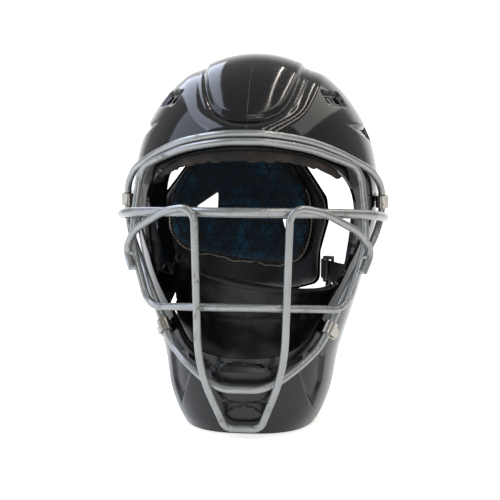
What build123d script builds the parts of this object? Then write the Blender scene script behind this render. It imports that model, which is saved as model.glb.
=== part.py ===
"""Baseball catcher's helmet: a moulded front shell with a welded wire cage, foam liners inside it,
a back plate that floats on elastic straps, and a chin cup hung between the jaws.

The origin is the middle of the wearer's head at eye level, +Z is up, -Y is the face side and +X is
the wearer's left. Sizes are in millimetres.
"""
import os
from functools import cache
from itertools import pairwise
from math import acos, asin, copysign, cos, degrees, radians, sin, sqrt, tan

from build123d import *

# Front shell: a half ellipsoid crown stands on a level base, and the jaw tapers down below it
crown_base = 25
crown_rise = 125
shell_half_width = 114
brow_depth = 128
crown_centre = -2
jaw_drop = 215
shell_wall = 4.5
cut_overrun = 40

# Level sections of the jaw: how far down, then half width, depth and set back of the centre, as
# shares of the sizes above, and how square the section is, where two is an ellipse
jaw_section_shares = (
    (0, 1, 1, 0, 2),
    (0.14, 0.988, 0.992, 0.014, 2.02),
    (0.26, 0.94, 0.94, 0.045, 2.1),
    (0.40, 0.872, 0.883, 0.078, 2.25),
    (0.545, 0.786, 0.836, 0.109, 2.42),
    (0.69, 0.695, 0.805, 0.141, 2.6),
    (0.83, 0.645, 0.781, 0.156, 2.7),
    (0.92, 0.585, 0.758, 0.156, 2.7),
    (1, 0.50, 0.70, 0.156, 2.6),
)
crown_section_shares = (0.25, 0.5, 0.71, 0.87, 0.96, 0.99)
section_points = 16
turn_step = 2

# Rear edge of the shell from the crown down to the jaw, seen from the side
rear_edge_shares = (
    (0.953, 0.44), (0.69, 0.30), (0.52, 0.12), (0.45, -0.116), (0.43, -0.302), (0.385, -0.423),
    (0.27, -0.495), (0.07, -0.545), (-0.105, -0.612), (-0.215, -0.73), (-0.262, -0.86),
    (-0.28, -0.972),
)

# Face opening, and the thin step that runs round it, seen from the front
opening_shares = (
    (0.22, 0.256), (0.55, 0.205), (0.81, 0.04), (0.845, -0.19), (0.765, -0.345), (0.57, -0.5),
    (0.385, -0.668),
)
rim_width = 9
rim_depth = 1.2

# Brow panel: a dome set back inside a U-shaped groove
panel_shares = ((0.475, 1.4), (0.385, 0.70), (0.235, 0.452))
panel_depth = 0.6
panel_setback = 4.7
groove_width = 7
groove_depth = 2.3

# The wall lies deeper behind the panel, so that it stays whole under the groove
lining_depth = 5.4
lining_margin = 4

# Crown vents, side gills and jaw vents are pockets with slots through their floors
vent_depth = 3.2
crown_vent_shares = (0.61, 0.632)
crown_vent_length = 25
crown_vent_height = 16
crown_vent_corner = 4
vent_slot_length = 8
vent_slot_height = 7
vent_slot_corner = 1.5
vent_slot_pitch = 10.5
gill_shares = ((-0.55, 0.455), (0.06, 0.465), (-0.02, 0.31), (-0.34, 0.37))
gill_slot_shares = ((-0.30, 0.43), (-0.03, 0.435), (-0.07, 0.36))
jaw_vent_shares = ((0.44, -0.645), (0.60, -0.668), (0.575, -0.78), (0.50, -0.885), (0.40, -0.73))
jaw_slot_shares = ((0.475, -0.672), (0.555, -0.69), (0.50, -0.745))
outline_corner = 2

# Ear ports and rear vents
ear_port_radius = 12
ear_port_shares = (0.2, -0.16)
rear_vent_length = 34
rear_vent_width = 9
rear_vent_shares = (0.24, 0.41)

# Chin: a stepped block, and a flat panel below it
chin_block_proud = 4.5
chin_block_shares = ((0.255, -0.682), (0.255, -0.765), (0.195, -0.842))
chin_panel_shares = ((0.21, -0.855), (0.19, -1.2))
chin_panel_depth = 2

# Cage: bent and welded steel wire, in points that follow the shell and in points in front of it
wire_diameter = 6.35
eye_bar_diameter = 8
brow_wire_gap = 0.15
bend_share = 0.45
brow_stand_off = 4.4
cage_reach = 151.6
cage_half_width = 106.5
brow_wire_shares = (
    (0.13, 0.36), (0.30, 0.342), (0.47, 0.314), (0.655, 0.252), (0.815, 0.172), (0.907, 0.122),
)
side_wire_shares = (
    (0.968, 0.005), (0.978, -0.115), (0.950, -0.205), (0.826, -0.372), (0.773, -0.488),
    (0.711, -0.616),
)
run_sag = 0.8
lower_wire_shares = ((0.47, 0.812, -0.679), (0.291, 0.892, -0.742), (0.141, 0.938, -0.769))
mouth_wire_shares = (
    (0.90, 0.535, 0.135), (0.934, 0.580, -0.088), (0.951, 0.607, -0.205), (0.909, 0.640, -0.293),
    (0.793, 0.689, -0.477), (0.563, 0.831, -0.463), (0.347, 0.947, -0.451), (0.141, 0.970, -0.449),
)
eye_bar_shares = (
    (0.131, 0.983, -0.089), (0.366, 0.9545, -0.089), (0.601, 0.867, -0.092), (0.798, 0.752, -0.095),
    (0.988, 0.628, -0.102), (1.078, 0.455, -0.112), (1.108, 0.355, -0.118), (1.1136, 0.272, -0.123),
)
centre_frame_shares = (
    (0.139, 0.844, -0.936), (0.3305, 0.9716, -0.6874), (0.366, 1, -0.0665), (0.610, 0.930, -0.086),
    (0.765, 0.834, -0.130), (0.892, 0.742, -0.167), (1, 0.617, -0.249), (0.934, 0.673, -0.328),
)

# Cage clips, one on each side and one on each jaw, with their screws and flanged nuts
clip_thickness = 2
clip_length = 11
clip_tab_length = 18
clip_tab_corner = 4
wire_play = 0.42
seat_gap = 0.3
pad_gap = 0.5
screw_radius = 2.4
screw_head_radius = 4.6
screw_head_height = 2.4
nut_radius = 3.6
nut_play = 0.05
nut_flange_radius = 5.5
nut_gap = 2.3
nut_flange_thickness = 1.2
hole_play = 0.3

# Foam pads inside the shell, drawn from the front, from above or from the side
forehead_thickness = 14
side_pad_thickness = 12
jaw_pad_thickness = 8
pad_corner = 9
forehead_shares = (
    (0.395, 0.176), (0.62, 0.09), (0.70, 0.05), (0.69, 0.22), (0.60, 0.45), (0.42, 0.60),
    (0.2, 0.64),
)
crown_pad_half_width = 46
crown_pad_front = 56
crown_pad_back = 28
temple_shares = ((-0.42, 0.01), (-0.42, 0.20), (-0.36, 0.42), (0.28, 0.43), (0.30, 0.01))
ear_pad_shares = ((-0.45, -0.10), (0.015, -0.10), (0.015, -0.375), (-0.40, -0.375))
jaw_pad_shares = ((-0.56, -0.51), (-0.16, -0.51), (-0.22, -0.70), (-0.60, -0.70))
chin_pad_shares = ((0.41, -0.715), (0.37, -0.90))
channel_width = 4
channel_depth = 3
channel_pitch = 15

# Back plate, which hangs a little to the wearer's right on its straps, with its pad and liner
plate_hang = -19
plate_centre = 15
plate_radius = 112
plate_height_share = 1.47
plate_thickness = 3
plate_half_width = 88
plate_top = 66
plate_bottom = 85
plate_corner = 12
lug_share = 0.9
plate_shares = (
    (0.38, 1), (0.70, 0.73), (0.97, 0.20), (1, -0.10), (lug_share, -0.50), (lug_share, -0.87),
    (0.55, -1),
)
plate_pad_thickness = 10
plate_pad_margin = 2.5
liner_thickness = 8
liner_offset = -5
liner_half_width = 70
liner_top = 58
liner_bottom = 63
liner_shares = (
    (0.35, 1), (0.70, 0.86), (0.96, 0.35), (1, -0.15), (0.90, -0.46), (0.70, -0.58), (0.66, -1),
)
binding_width = 2.2
plate_vent_shares = (
    ((0.34, 0.27), (0.63, 0), (0.34, -0.04)), ((0.34, -0.17), (0.52, -0.17), (0.46, -0.36)),
)
lug_slot_width = 4
lug_slot_inset = 72
lug_notch_inset = 56
lug_notch_height = 34

# Elastic straps from the shell to the back plate, their rivets and their sliding adjusters
strap_width = 20
strap_thickness = 1.8
strap_level = -59
strap_shares = (0.22, 0.30, 0.37, 0.44)
strap_rivet_share = 0.30
strap_turn_share = 0.12
crown_strap_width = 30
crown_strap_shares = (0.42, 0.52, 0.60, 0.68, 0.76, 0.83)
crown_strap_drop = 5.5
crown_strap_lean = 1
crown_rivet_share = 0.52
rivet_radius = 2
rivet_head_radius = 5
rivet_head_height = 1.4
head_taper = 30
adjuster_length = 11
adjuster_bar = 3
adjuster_rail = 3
adjuster_thickness = 1.6
adjuster_share = 0.54

# Chin cup, hung between the jaws on straps that snap to the shell
cup_centre = (0, -8, -62)
cup_half_width = 70
cup_depth = 56
cup_drop = 76
cup_wall = 3
cup_pad_thickness = 7
cup_back = 12
cup_edge_rise = 14
cup_edge_level = -6
chin_strap_width = 20
chin_strap_thickness = 1.6
chin_strap_level = -70
chin_strap_shares = (0.20, 0.13, 0.07)
chin_strap_back = -4
chin_snap_share = 0.13
snap_radius = 7.5
snap_height = 2.2

far = brow_depth + cut_overrun
forward = Vector(0, -1, 0)
rearward = Vector(0, 1, 0)
upward = Vector(0, 0, 1)
outboard = Vector(1, 0, 0)
right_angle, half_circle = 90, 180
wire_radius = wire_diameter / 2
wire_pitch = wire_diameter + brow_wire_gap
clip_radius = wire_radius + wire_play + clip_thickness
clip_stand_off = clip_radius + seat_gap + run_sag
pad_inset = shell_wall + pad_gap


def level_section(height, inset=0, setback=0):
    """Half width, depth, centre and squareness of the head form at a height."""
    if height >= crown_base:
        shrink = sqrt(1 - ((height - crown_base) / (crown_rise - inset)) ** 2)
        half_width = (shell_half_width - inset) * shrink
        return half_width, (brow_depth - inset - setback) * shrink, crown_centre, 2
    drop = (crown_base - height) / jaw_drop
    for upper, lower in pairwise(jaw_section_shares):
        if drop <= lower[0]:
            break
    along = (drop - upper[0]) / (lower[0] - upper[0])
    width, depth, back, square = (a + (b - a) * along for a, b in zip(upper[1:], lower[1:]))
    centre = crown_centre - back * brow_depth
    return shell_half_width * width - inset, brow_depth * depth - inset - setback, centre, square


def ring_point(turn, section):
    """A point of a level section, at a turn from the wearer's left towards the face."""
    half_width, depth, centre, square = section
    across, ahead = cos(radians(turn)), sin(radians(turn))
    return (
        half_width * copysign(abs(across) ** (2 / square), across),
        centre - depth * copysign(abs(ahead) ** (2 / square), ahead),
    )


@cache
def head_form(inset=0, setback=0):
    """The solid head form, drawn in all round by an inset and in front by a setback."""
    heights = [crown_base - jaw_drop * row[0] for row in reversed(jaw_section_shares)]
    heights += [crown_base + (crown_rise - inset) * share for share in crown_section_shares]
    turns = [360 * count / section_points for count in range(section_points)]
    rings = []
    for height in heights:
        front, rear = level_section(height, inset, setback), level_section(height, inset)
        points = [ring_point(turn, front if turn < half_circle else rear) for turn in turns]
        with BuildSketch(Plane.XY.offset(height)) as ring:
            with BuildLine():
                Spline(points, periodic=True)
            make_face()
        rings.append(ring.sketch)
    with BuildPart() as form:
        loft(rings + [Vertex(0, crown_centre, crown_base + crown_rise - inset)])
    return form.part


def front_place(across_share, height_share):
    """A point seen from the front, as shares of the half width and of the rise or drop."""
    reach = crown_rise if height_share > 0 else jaw_drop
    return shell_half_width * across_share, crown_base + reach * height_share


def side_place(back_share, height_share):
    """A point seen from the side, as shares of the depth and of the rise or drop."""
    reach = crown_rise if height_share > 0 else jaw_drop
    return brow_depth * back_share, crown_base + reach * height_share


def mirrored(points):
    """A half outline, with its mirror image joined on before it."""
    return [(-x, y) for x, y in reversed(points)] + list(points)


def turn_at(back, height, inset=0):
    """The turn at which the head form's side lies at a distance behind the origin."""
    _, depth, centre, square = level_section(height, inset)
    ahead = (centre - back) / depth
    return degrees(asin(copysign(abs(ahead) ** (square / 2), ahead)))


def skin_point(turn, height, inset=0):
    """A point on the head form."""
    return Vector(*ring_point(turn, level_section(height, inset)), height)


def skin_plane(turn, height, inset=0):
    """A plane on the head form, with its normal outwards and its x axis level."""
    level = skin_point(turn + turn_step, height, inset) - skin_point(turn - turn_step, height, inset)
    rise = skin_point(turn, height + shell_wall, inset) - skin_point(turn, height - shell_wall, inset)
    return Plane(origin=skin_point(turn, height, inset), x_dir=level, z_dir=rise.cross(level))


def across_point(across_share, height, inset=0):
    """A point on the front half of the head form, at a share of its half width there."""
    half_width, depth, centre, square = level_section(height, inset)
    ahead = (1 - across_share**square) ** (1 / square)
    return Vector(half_width * across_share, centre - depth * ahead, height)


def bend_radii(points):
    """The largest arcs that the runs of a bent line leave room for, one for each corner."""
    radii = []
    for before, corner, after in zip(points, points[1:], points[2:]):
        run_in, run_out = Vector(*corner) - Vector(*before), Vector(*after) - Vector(*corner)
        half_turn = radians(run_in.get_angle(run_out)) / 2
        radii.append(bend_share * min(run_in.length, run_out.length) / tan(half_turn))
    return radii


def closed_outline(points):
    """Straight runs joined by arcs, closed by one straight run."""
    with BuildLine() as outline:
        FilletPolyline(points, radius=bend_radii(points))
        Line(points[-1], points[0])
    return outline.edges()


def opening_outline():
    """The edge of the face opening, seen from the front."""
    return closed_outline(mirrored([front_place(*row) for row in opening_shares]))


def panel_outline():
    """The middle line of the U-shaped groove, closed far above the crown."""
    return closed_outline(mirrored([front_place(*row) for row in reversed(panel_shares)]))


def cage_point(across_share, reach_share, height_share):
    """A point of the cage in front of the shell, as shares of its half width and reach."""
    _, height = front_place(across_share, height_share)
    return Vector(cage_half_width * across_share, -cage_reach * reach_share, height)


def from_middle(points):
    """A half wire that leaves the mid-plane squarely, so that its mirror image meets it."""
    return [Vector(0, points[0].Y, points[0].Z)] + points


def to_middle(points):
    """A half wire that reaches the mid-plane squarely."""
    return points + [Vector(0, points[-1].Y, points[-1].Z)]


def bent_wire(points, diameter):
    """A wire with an arc at each bend, and its mirror image."""
    with BuildPart() as wire:
        with BuildLine() as path:
            FilletPolyline(points, radius=bend_radii(points))
        with BuildSketch(Plane(origin=path.line @ 0, z_dir=path.line % 0)):
            Circle(diameter / 2)
        sweep()
        mirror(about=Plane.YZ)
    return wire.part


def pad_slab(profile, heading, thickness):
    """A foam slab of even thickness against the inside of the shell, within a profile."""
    with BuildPart() as slab:
        add(profile)
        extrude(amount=far, dir=heading)
        add(cavity_form(pad_gap), mode=Mode.INTERSECT)
        add(head_form(pad_inset + thickness), mode=Mode.SUBTRACT)
    return slab.part


def plate_form(inset=0):
    """The solid spheroid that the back plate follows, drawn in by an inset."""
    radius = plate_radius - inset
    with BuildPart() as form:
        with BuildSketch(Plane.YZ.offset(plate_hang)):
            with Locations((plate_centre, 0)):
                Ellipse(radius, plate_radius * plate_height_share - inset)
                Rectangle(far, 2 * far, align=(Align.MAX, Align.CENTER), mode=Mode.SUBTRACT)
        revolve(axis=Axis((plate_hang, plate_centre, 0), (0, 0, 1)))
    return form.part


def plate_slab(profile, inset, thickness):
    """A layer of the back plate's spheroid behind the head, within a profile."""
    with BuildPart() as slab:
        add(profile)
        extrude(amount=far, dir=rearward)
        add(plate_form(inset), mode=Mode.INTERSECT)
        add(plate_form(inset + thickness), mode=Mode.SUBTRACT)
    return slab.part


def side_outline(shares, corner):
    """A rounded outline on the middle plane, drawn from the side."""
    with BuildSketch(Plane.YZ) as outline:
        Polygon(*[side_place(*row) for row in shares], align=None)
        fillet(outline.vertices(), radius=corner)
    return outline.sketch


def front_outline(shares, corner):
    """A rounded outline on the crown's plane, drawn from the front."""
    with BuildSketch(Plane.XZ.offset(-crown_centre)) as outline:
        Polygon(*[front_place(*row) for row in shares], align=None)
        fillet(outline.vertices(), radius=corner)
    return outline.sketch


def save(part, name):
    """Label a finished piece and write it under its own name."""
    part.label = name
    export_step(part, f"parts/{name}.step")


def save_pair(part, name):
    """Write a piece of the wearer's left side, and its mirror image on the right."""
    save(part, f"{name}_left")
    save(mirror(part, about=Plane.YZ), f"{name}_right")


os.makedirs("parts", exist_ok=True)

# Perimeter wire: it follows the brow and the sides at its clips' stand-off, then leaves the jaw
brow_wire = [
    across_point(across, crown_base + crown_rise * height, -brow_stand_off)
    for across, height in brow_wire_shares
]
side_wire = [
    across_point(across, front_place(across, height)[1], -clip_stand_off)
    for across, height in side_wire_shares
]
lower_wire = [cage_point(*row) for row in lower_wire_shares]
perimeter_path = to_middle(from_middle(brow_wire + side_wire + lower_wire))
with BuildPart() as perimeter_wire:
    add(bent_wire(perimeter_path, wire_diameter))
save(perimeter_wire.part, "perimeter_wire")

# Mouth wire: it lies under the perimeter wire at the brow, comes down and crosses below the mouth
brow_run = [
    across_point(across, crown_base + crown_rise * height - wire_pitch, -brow_stand_off)
    for across, height in brow_wire_shares[:4]
]
mouth_run = [cage_point(*row) for row in mouth_wire_shares]
with BuildPart() as mouth_wire:
    add(bent_wire(to_middle(from_middle(brow_run + mouth_run)), wire_diameter))
save(mouth_wire.part, "mouth_wire")

with BuildPart() as eye_bar:
    add(bent_wire(from_middle([cage_point(*row) for row in eye_bar_shares]), eye_bar_diameter))
save(eye_bar.part, "eye_bar")

with BuildPart() as centre_frame:
    add(bent_wire(from_middle([cage_point(*row) for row in centre_frame_shares]), wire_diameter))
save(centre_frame.part, "centre_frame")


def clip_plane(above, below):
    """A plane across a straight run of wire: x runs back along the shell, y out of it."""
    middle, run = (above + below) / 2, (below - above).normalized()
    turn = turn_at(middle.Y, middle.Z, -clip_stand_off)
    outward = skin_plane(turn, middle.Z, -clip_stand_off).z_dir
    outward = (outward - run * outward.dot(run)).normalized()
    return Plane(origin=middle, x_dir=outward.cross(run), z_dir=run)


# Cage clips: a ring round the wire, and a tab that is screwed to the shell behind it
clip_planes = {
    "side_clip": clip_plane(side_wire[0], side_wire[1]),
    "jaw_clip": clip_plane(side_wire[-2], side_wire[-1]),
}
tab_hole_inset = clip_length / 2
screw_seats, nut_seats = [], []
for name, place in clip_planes.items():
    hole = place.from_local_coords((clip_tab_length - tab_hole_inset, clip_thickness - clip_radius))
    screw_seat = Plane(origin=hole, x_dir=place.x_dir, z_dir=place.y_dir)
    screw_seats.append(screw_seat)
    skin = skin_point(turn_at(hole.Y, hole.Z), hole.Z)
    skin_depth = (hole - skin).dot(screw_seat.z_dir)
    nut_seats.append(screw_seat.offset(-skin_depth - shell_wall - nut_gap))
    with BuildPart() as clip:
        with BuildSketch(place):
            Circle(clip_radius)
            with Locations((0, -clip_radius)):
                Rectangle(clip_tab_length, clip_thickness, align=(Align.MIN, Align.MIN))
            Circle(wire_radius + wire_play, mode=Mode.SUBTRACT)
        extrude(amount=clip_length / 2, both=True)
        tab_end = clip.faces().sort_by(Axis(place.origin, place.x_dir))[-1]
        fillet(tab_end.edges().filter_by(Axis(place.origin, place.y_dir)), radius=clip_tab_corner)
        with BuildSketch(screw_seat):
            Circle(screw_radius + hole_play)
        extrude(amount=-clip_radius, mode=Mode.SUBTRACT)
    save_pair(clip.part, name)

# Screws with rounded heads on the clips' tabs, and flanged nuts that fill the shell's holes
with BuildPart() as cage_screws:
    for screw_seat in screw_seats:
        with BuildSketch(screw_seat):
            Circle(screw_head_radius)
        extrude(amount=screw_head_height, taper=head_taper / 2)
    for screw_seat, nut_seat in zip(screw_seats, nut_seats):
        with BuildSketch(screw_seat):
            Circle(screw_radius)
        extrude(amount=-(screw_seat.origin - nut_seat.origin).length - nut_flange_thickness)
    mirror(about=Plane.YZ)
save(cage_screws.part, "cage_screws")

with BuildPart() as cage_nuts:
    for nut_seat in nut_seats:
        with BuildSketch(nut_seat):
            Circle(nut_flange_radius)
        extrude(amount=-nut_flange_thickness)
        with BuildSketch(nut_seat):
            Circle(nut_radius)
        extrude(amount=shell_wall)
        with BuildSketch(nut_seat):
            Circle(screw_radius + nut_play)
        extrude(amount=cut_overrun, both=True, mode=Mode.SUBTRACT)
    mirror(about=Plane.YZ)
save(cage_nuts.part, "cage_nuts")

# Fixings through the shell: rivets of the rear straps and crown strap, snaps of the chin straps
crown_strap_sag = crown_strap_width**2 / (8 * shell_half_width)
strap_inset = pad_inset + strap_thickness / 2
crown_strap_inset = strap_inset + crown_strap_sag
chin_strap_inset = pad_inset + chin_strap_thickness / 2


def wall_plane(back, height):
    """A plane on the shell's outer face at a distance behind the origin."""
    return skin_plane(turn_at(back, height), height)


def crown_height(back, inset=0):
    """The height of the crown's middle line at a distance behind the origin."""
    ahead = (back - crown_centre) / (brow_depth - inset)
    return crown_base + (crown_rise - inset) * sqrt(1 - ahead**2)


def fixing(seat, grip, head_radius, head_height):
    """A head on a plane, a shaft through what it holds, and a washer at the end of its grip."""
    with BuildPart() as pin:
        with BuildSketch(seat.offset(seat_gap)):
            Circle(head_radius)
        extrude(amount=head_height, taper=head_taper)
        with BuildSketch(seat.offset(seat_gap)):
            Circle(rivet_radius)
        extrude(amount=-grip)
        with BuildSketch(seat.offset(seat_gap - grip)):
            Circle(rivet_head_radius)
        extrude(amount=-rivet_head_height)
    return pin.part


side_rivet_seat = wall_plane(brow_depth * strap_rivet_share, strap_level)
crown_rivet_seat = skin_plane(-right_angle, crown_height(brow_depth * crown_rivet_share))
snap_seat = wall_plane(brow_depth * chin_snap_share, chin_strap_level)


def fixing_hole(seat):
    """A hole for a fixing, through the shell and what it holds."""
    with BuildPart() as hole:
        with BuildSketch(seat):
            Circle(rivet_radius + hole_play)
        extrude(amount=2 * pad_inset, both=True)
    return hole.part


side_holes = fixing_hole(side_rivet_seat)
snap_hole = fixing_hole(snap_seat)
crown_hole = fixing_hole(crown_rivet_seat)

# Front shell
with BuildSketch(Plane.XZ.offset(-crown_centre)) as brow_panel:
    make_face(panel_outline())
with BuildSketch(Plane.XZ.offset(-crown_centre)) as brow_groove:
    make_face(panel_outline())
    inner = offset(amount=-groove_width / 2, mode=Mode.PRIVATE)
    offset(amount=groove_width / 2)
    add(inner, mode=Mode.SUBTRACT)
with BuildSketch(Plane.XZ.offset(-crown_centre)) as opening_rim:
    make_face(opening_outline())
    offset(amount=rim_width)
with BuildSketch(Plane.XZ.offset(-crown_centre)) as face_opening:
    make_face(opening_outline())
with BuildSketch(Plane.XZ.offset(-crown_centre)) as chin_block_outline:
    make_face(closed_outline(mirrored([front_place(*row) for row in chin_block_shares])))


def sunk(profile, form, *headings):
    """What lies outside a form within a profile: cut from the shell, it leaves the form's face."""
    with BuildPart() as tool:
        for heading in headings:
            add(profile)
            extrude(amount=far, dir=heading)
        add(form, mode=Mode.SUBTRACT)
    return tool.part


@cache
def cavity_form(gap=0):
    """The room inside the shell, drawn in by a gap: it lies deeper behind the brow panel."""
    with BuildSketch(brow_panel.workplanes[0]) as lining:
        add(brow_panel.sketch)
        offset(amount=groove_width / 2 + lining_margin + gap)
    with BuildPart() as room:
        add(head_form(shell_wall + gap))
        deeper = head_form(lining_depth + gap, panel_setback)
        add(sunk(lining.sketch, deeper, forward), mode=Mode.SUBTRACT)
    return room.part


crown_vent_across, crown_vent_level = front_place(*crown_vent_shares)
crown_vent_half_width = level_section(crown_vent_level)[0]
crown_vent_turn = degrees(acos(crown_vent_across / crown_vent_half_width))
crown_vent_seat = skin_plane(crown_vent_turn, crown_vent_level)

with BuildPart() as vent_pockets:
    with BuildSketch(crown_vent_seat):
        RectangleRounded(crown_vent_length, crown_vent_height, crown_vent_corner)
    extrude(amount=cut_overrun, both=True)
    add(side_outline(gill_shares, outline_corner))
    extrude(amount=far, dir=outboard)
    add(front_outline(jaw_vent_shares, outline_corner))
    extrude(amount=far, dir=forward)
    mirror(about=Plane.YZ)
    add(head_form(vent_depth), mode=Mode.SUBTRACT)

rear_edge = [side_place(*row) for row in rear_edge_shares]
chin_panel_level = front_place(*chin_panel_shares[0])[1]
_, chin_depth, chin_centre, _ = level_section(chin_panel_level)
with BuildPart() as through_cuts:
    with BuildSketch(crown_vent_seat):
        with GridLocations(vent_slot_pitch, 0, 2, 1):
            RectangleRounded(vent_slot_length, vent_slot_height, vent_slot_corner)
    extrude(amount=cut_overrun / 2, both=True)
    add(side_outline(gill_slot_shares, outline_corner))
    extrude(amount=far, dir=outboard)
    add(front_outline(jaw_slot_shares, outline_corner))
    extrude(amount=far, dir=forward)
    with BuildSketch(Plane.YZ):
        with Locations(side_place(*ear_port_shares)):
            Circle(ear_port_radius)
    extrude(amount=far)
    with BuildSketch(Plane.XY.offset(crown_base)):
        with Locations((shell_half_width * rear_vent_shares[0], brow_depth * rear_vent_shares[1])):
            SlotOverall(rear_vent_length, rear_vent_width, rotation=right_angle)
    extrude(amount=far)
    for nut_seat in nut_seats:
        with BuildSketch(nut_seat):
            Circle(nut_radius + hole_play)
        extrude(amount=cut_overrun / 2, both=True)
    add(side_holes)
    add(snap_hole)
    mirror(about=Plane.YZ)
    add(crown_hole)
    with BuildSketch(Plane.XZ.offset(chin_depth - chin_centre - chin_panel_depth)):
        make_face(closed_outline(mirrored([front_place(*row) for row in chin_panel_shares])))
    extrude(amount=far, dir=forward)

with BuildPart() as chin_block:
    add(chin_block_outline.sketch)
    extrude(amount=far, dir=forward)
    add(head_form(-chin_block_proud), mode=Mode.INTERSECT)

with BuildPart() as front_shell:
    add(head_form())
    add(chin_block.part)
    panel_form = head_form(panel_depth, panel_setback)
    add(sunk(brow_panel.sketch, panel_form, forward, rearward), mode=Mode.SUBTRACT)
    groove_form = head_form(panel_depth + groove_depth, panel_setback)
    add(sunk(brow_groove.sketch, groove_form, forward, rearward), mode=Mode.SUBTRACT)
    add(sunk(opening_rim.sketch, head_form(rim_depth), forward), mode=Mode.SUBTRACT)
    add(vent_pockets.part, mode=Mode.SUBTRACT)
    add(cavity_form(), mode=Mode.SUBTRACT)
    add(face_opening.sketch)
    extrude(amount=far, dir=forward, mode=Mode.SUBTRACT)
    add(through_cuts.part, mode=Mode.SUBTRACT)
    with BuildSketch(Plane.YZ):
        with BuildLine():
            Spline(rear_edge)
            Polyline(
                rear_edge[-1], (-far, rear_edge[-1][1]), (-far, crown_rise + far),
                (far, crown_rise + far), (far, rear_edge[0][1]), rear_edge[0],
            )
        make_face()
    extrude(amount=far, both=True, mode=Mode.INTERSECT)
save(front_shell.part, "front_shell")

# Foam pads inside the shell
with BuildSketch(Plane.XZ.offset(-crown_centre)) as forehead_outline:
    make_face(closed_outline(mirrored([front_place(*row) for row in forehead_shares])))
with BuildPart() as forehead_pad:
    add(pad_slab(forehead_outline.sketch, forward, forehead_thickness))
save(forehead_pad.part, "forehead_pad")

with BuildSketch(Plane.XY.offset(crown_base)) as crown_outline:
    with Locations((0, (crown_pad_back - crown_pad_front) / 2)):
        RectangleRounded(2 * crown_pad_half_width, crown_pad_front + crown_pad_back, 2 * pad_corner)
with BuildPart() as crown_pad:
    add(pad_slab(crown_outline.sketch, upward, forehead_thickness))
save(crown_pad.part, "crown_pad")

with BuildPart() as temple_pad:
    add(pad_slab(side_outline(temple_shares, pad_corner), outboard, side_pad_thickness))
save_pair(temple_pad.part, "temple_pad")

ear_pad_outline = side_outline(ear_pad_shares, pad_corner)
ear_pad_middle = ear_pad_outline.center()
with BuildPart() as ear_channels:
    with BuildSketch(Plane.YZ):
        with Locations((ear_pad_middle.Y, ear_pad_middle.Z)):
            with GridLocations(channel_pitch, 0, 3, 1):
                Rectangle(channel_width, far)
    extrude(amount=far)
    add(head_form(pad_inset + side_pad_thickness - channel_depth), mode=Mode.INTERSECT)
with BuildPart() as ear_pad:
    add(pad_slab(ear_pad_outline, outboard, side_pad_thickness))
    add(ear_channels.part, mode=Mode.SUBTRACT)
save_pair(ear_pad.part, "ear_pad")

with BuildPart() as jaw_pad:
    add(pad_slab(side_outline(jaw_pad_shares, pad_corner), outboard, jaw_pad_thickness))
save_pair(jaw_pad.part, "jaw_pad")

with BuildSketch(Plane.XZ.offset(-crown_centre)) as chin_outline:
    Polygon(*mirrored([front_place(*row) for row in chin_pad_shares]), align=None)
    fillet(chin_outline.vertices(), radius=pad_corner)
with BuildPart() as chin_pad:
    add(pad_slab(chin_outline.sketch, forward, side_pad_thickness))
save(chin_pad.part, "chin_pad")


def plate_profile(shares, half_width, top, bottom, middle, grow=0):
    """A rounded outline of the back plate, its pad or its liner, drawn from the front."""
    half = [(half_width * x, z * (top if z > 0 else bottom)) for x, z in shares]
    with BuildSketch(Plane.XZ.offset(-plate_centre)) as profile:
        with Locations((middle, 0)):
            Polygon(*mirrored(half), align=None)
        fillet(profile.vertices(), radius=plate_corner)
        offset(amount=grow)
    return profile.sketch


def side_windows(width, inset, height):
    """Two openings at the strap level, on either side of the back plate's middle."""
    with BuildPart() as windows:
        with BuildSketch(Plane.XZ.offset(-plate_centre)):
            with Locations((plate_hang, strap_level)):
                with GridLocations(2 * inset, 0, 2, 1):
                    Rectangle(width, height)
        extrude(amount=far, dir=rearward)
    return windows.part


# Back plate, its pad and its cloth-covered liner, with the same vents through all three
with BuildPart() as plate_vents:
    with BuildSketch(Plane.XZ.offset(-plate_centre)) as vent_outlines:
        with Locations((plate_hang, 0)):
            for shares in plate_vent_shares:
                for side in (-plate_half_width, plate_half_width):
                    corners = [(side * across, plate_top * height) for across, height in shares]
                    Polygon(*corners, align=None)
        fillet(vent_outlines.vertices(), radius=vent_slot_corner)
    extrude(amount=far, dir=rearward)

notch_width = plate_half_width - lug_notch_inset
strap_notches = side_windows(notch_width, lug_notch_inset + notch_width / 2, lug_notch_height)
lug_slots = side_windows(lug_slot_width, lug_slot_inset, strap_width + lug_slot_width)
plate_size = (plate_half_width, plate_top, plate_bottom, plate_hang)
with BuildPart() as back_plate:
    add(plate_slab(plate_profile(plate_shares, *plate_size), 0, plate_thickness))
    add(plate_vents.part, mode=Mode.SUBTRACT)
    add(lug_slots, mode=Mode.SUBTRACT)
save(back_plate.part, "back_plate")

back_pad_inset = plate_thickness + seat_gap
back_pad_profile = plate_profile(plate_shares, *plate_size, grow=-plate_pad_margin)
with BuildPart() as back_pad:
    add(plate_slab(back_pad_profile, back_pad_inset, plate_pad_thickness))
    add(plate_vents.part, mode=Mode.SUBTRACT)
    add(strap_notches, mode=Mode.SUBTRACT)
save(back_pad.part, "back_pad")

liner_inset = back_pad_inset + plate_pad_thickness + seat_gap
liner_size = (liner_half_width, liner_top, liner_bottom, plate_hang + liner_offset)
liner_profile = plate_profile(liner_shares, *liner_size)
with BuildPart() as back_liner:
    add(plate_slab(liner_profile, liner_inset, liner_thickness))
    add(plate_vents.part, mode=Mode.SUBTRACT)
    add(strap_notches, mode=Mode.SUBTRACT)
save(back_liner.part, "back_liner")

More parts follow.
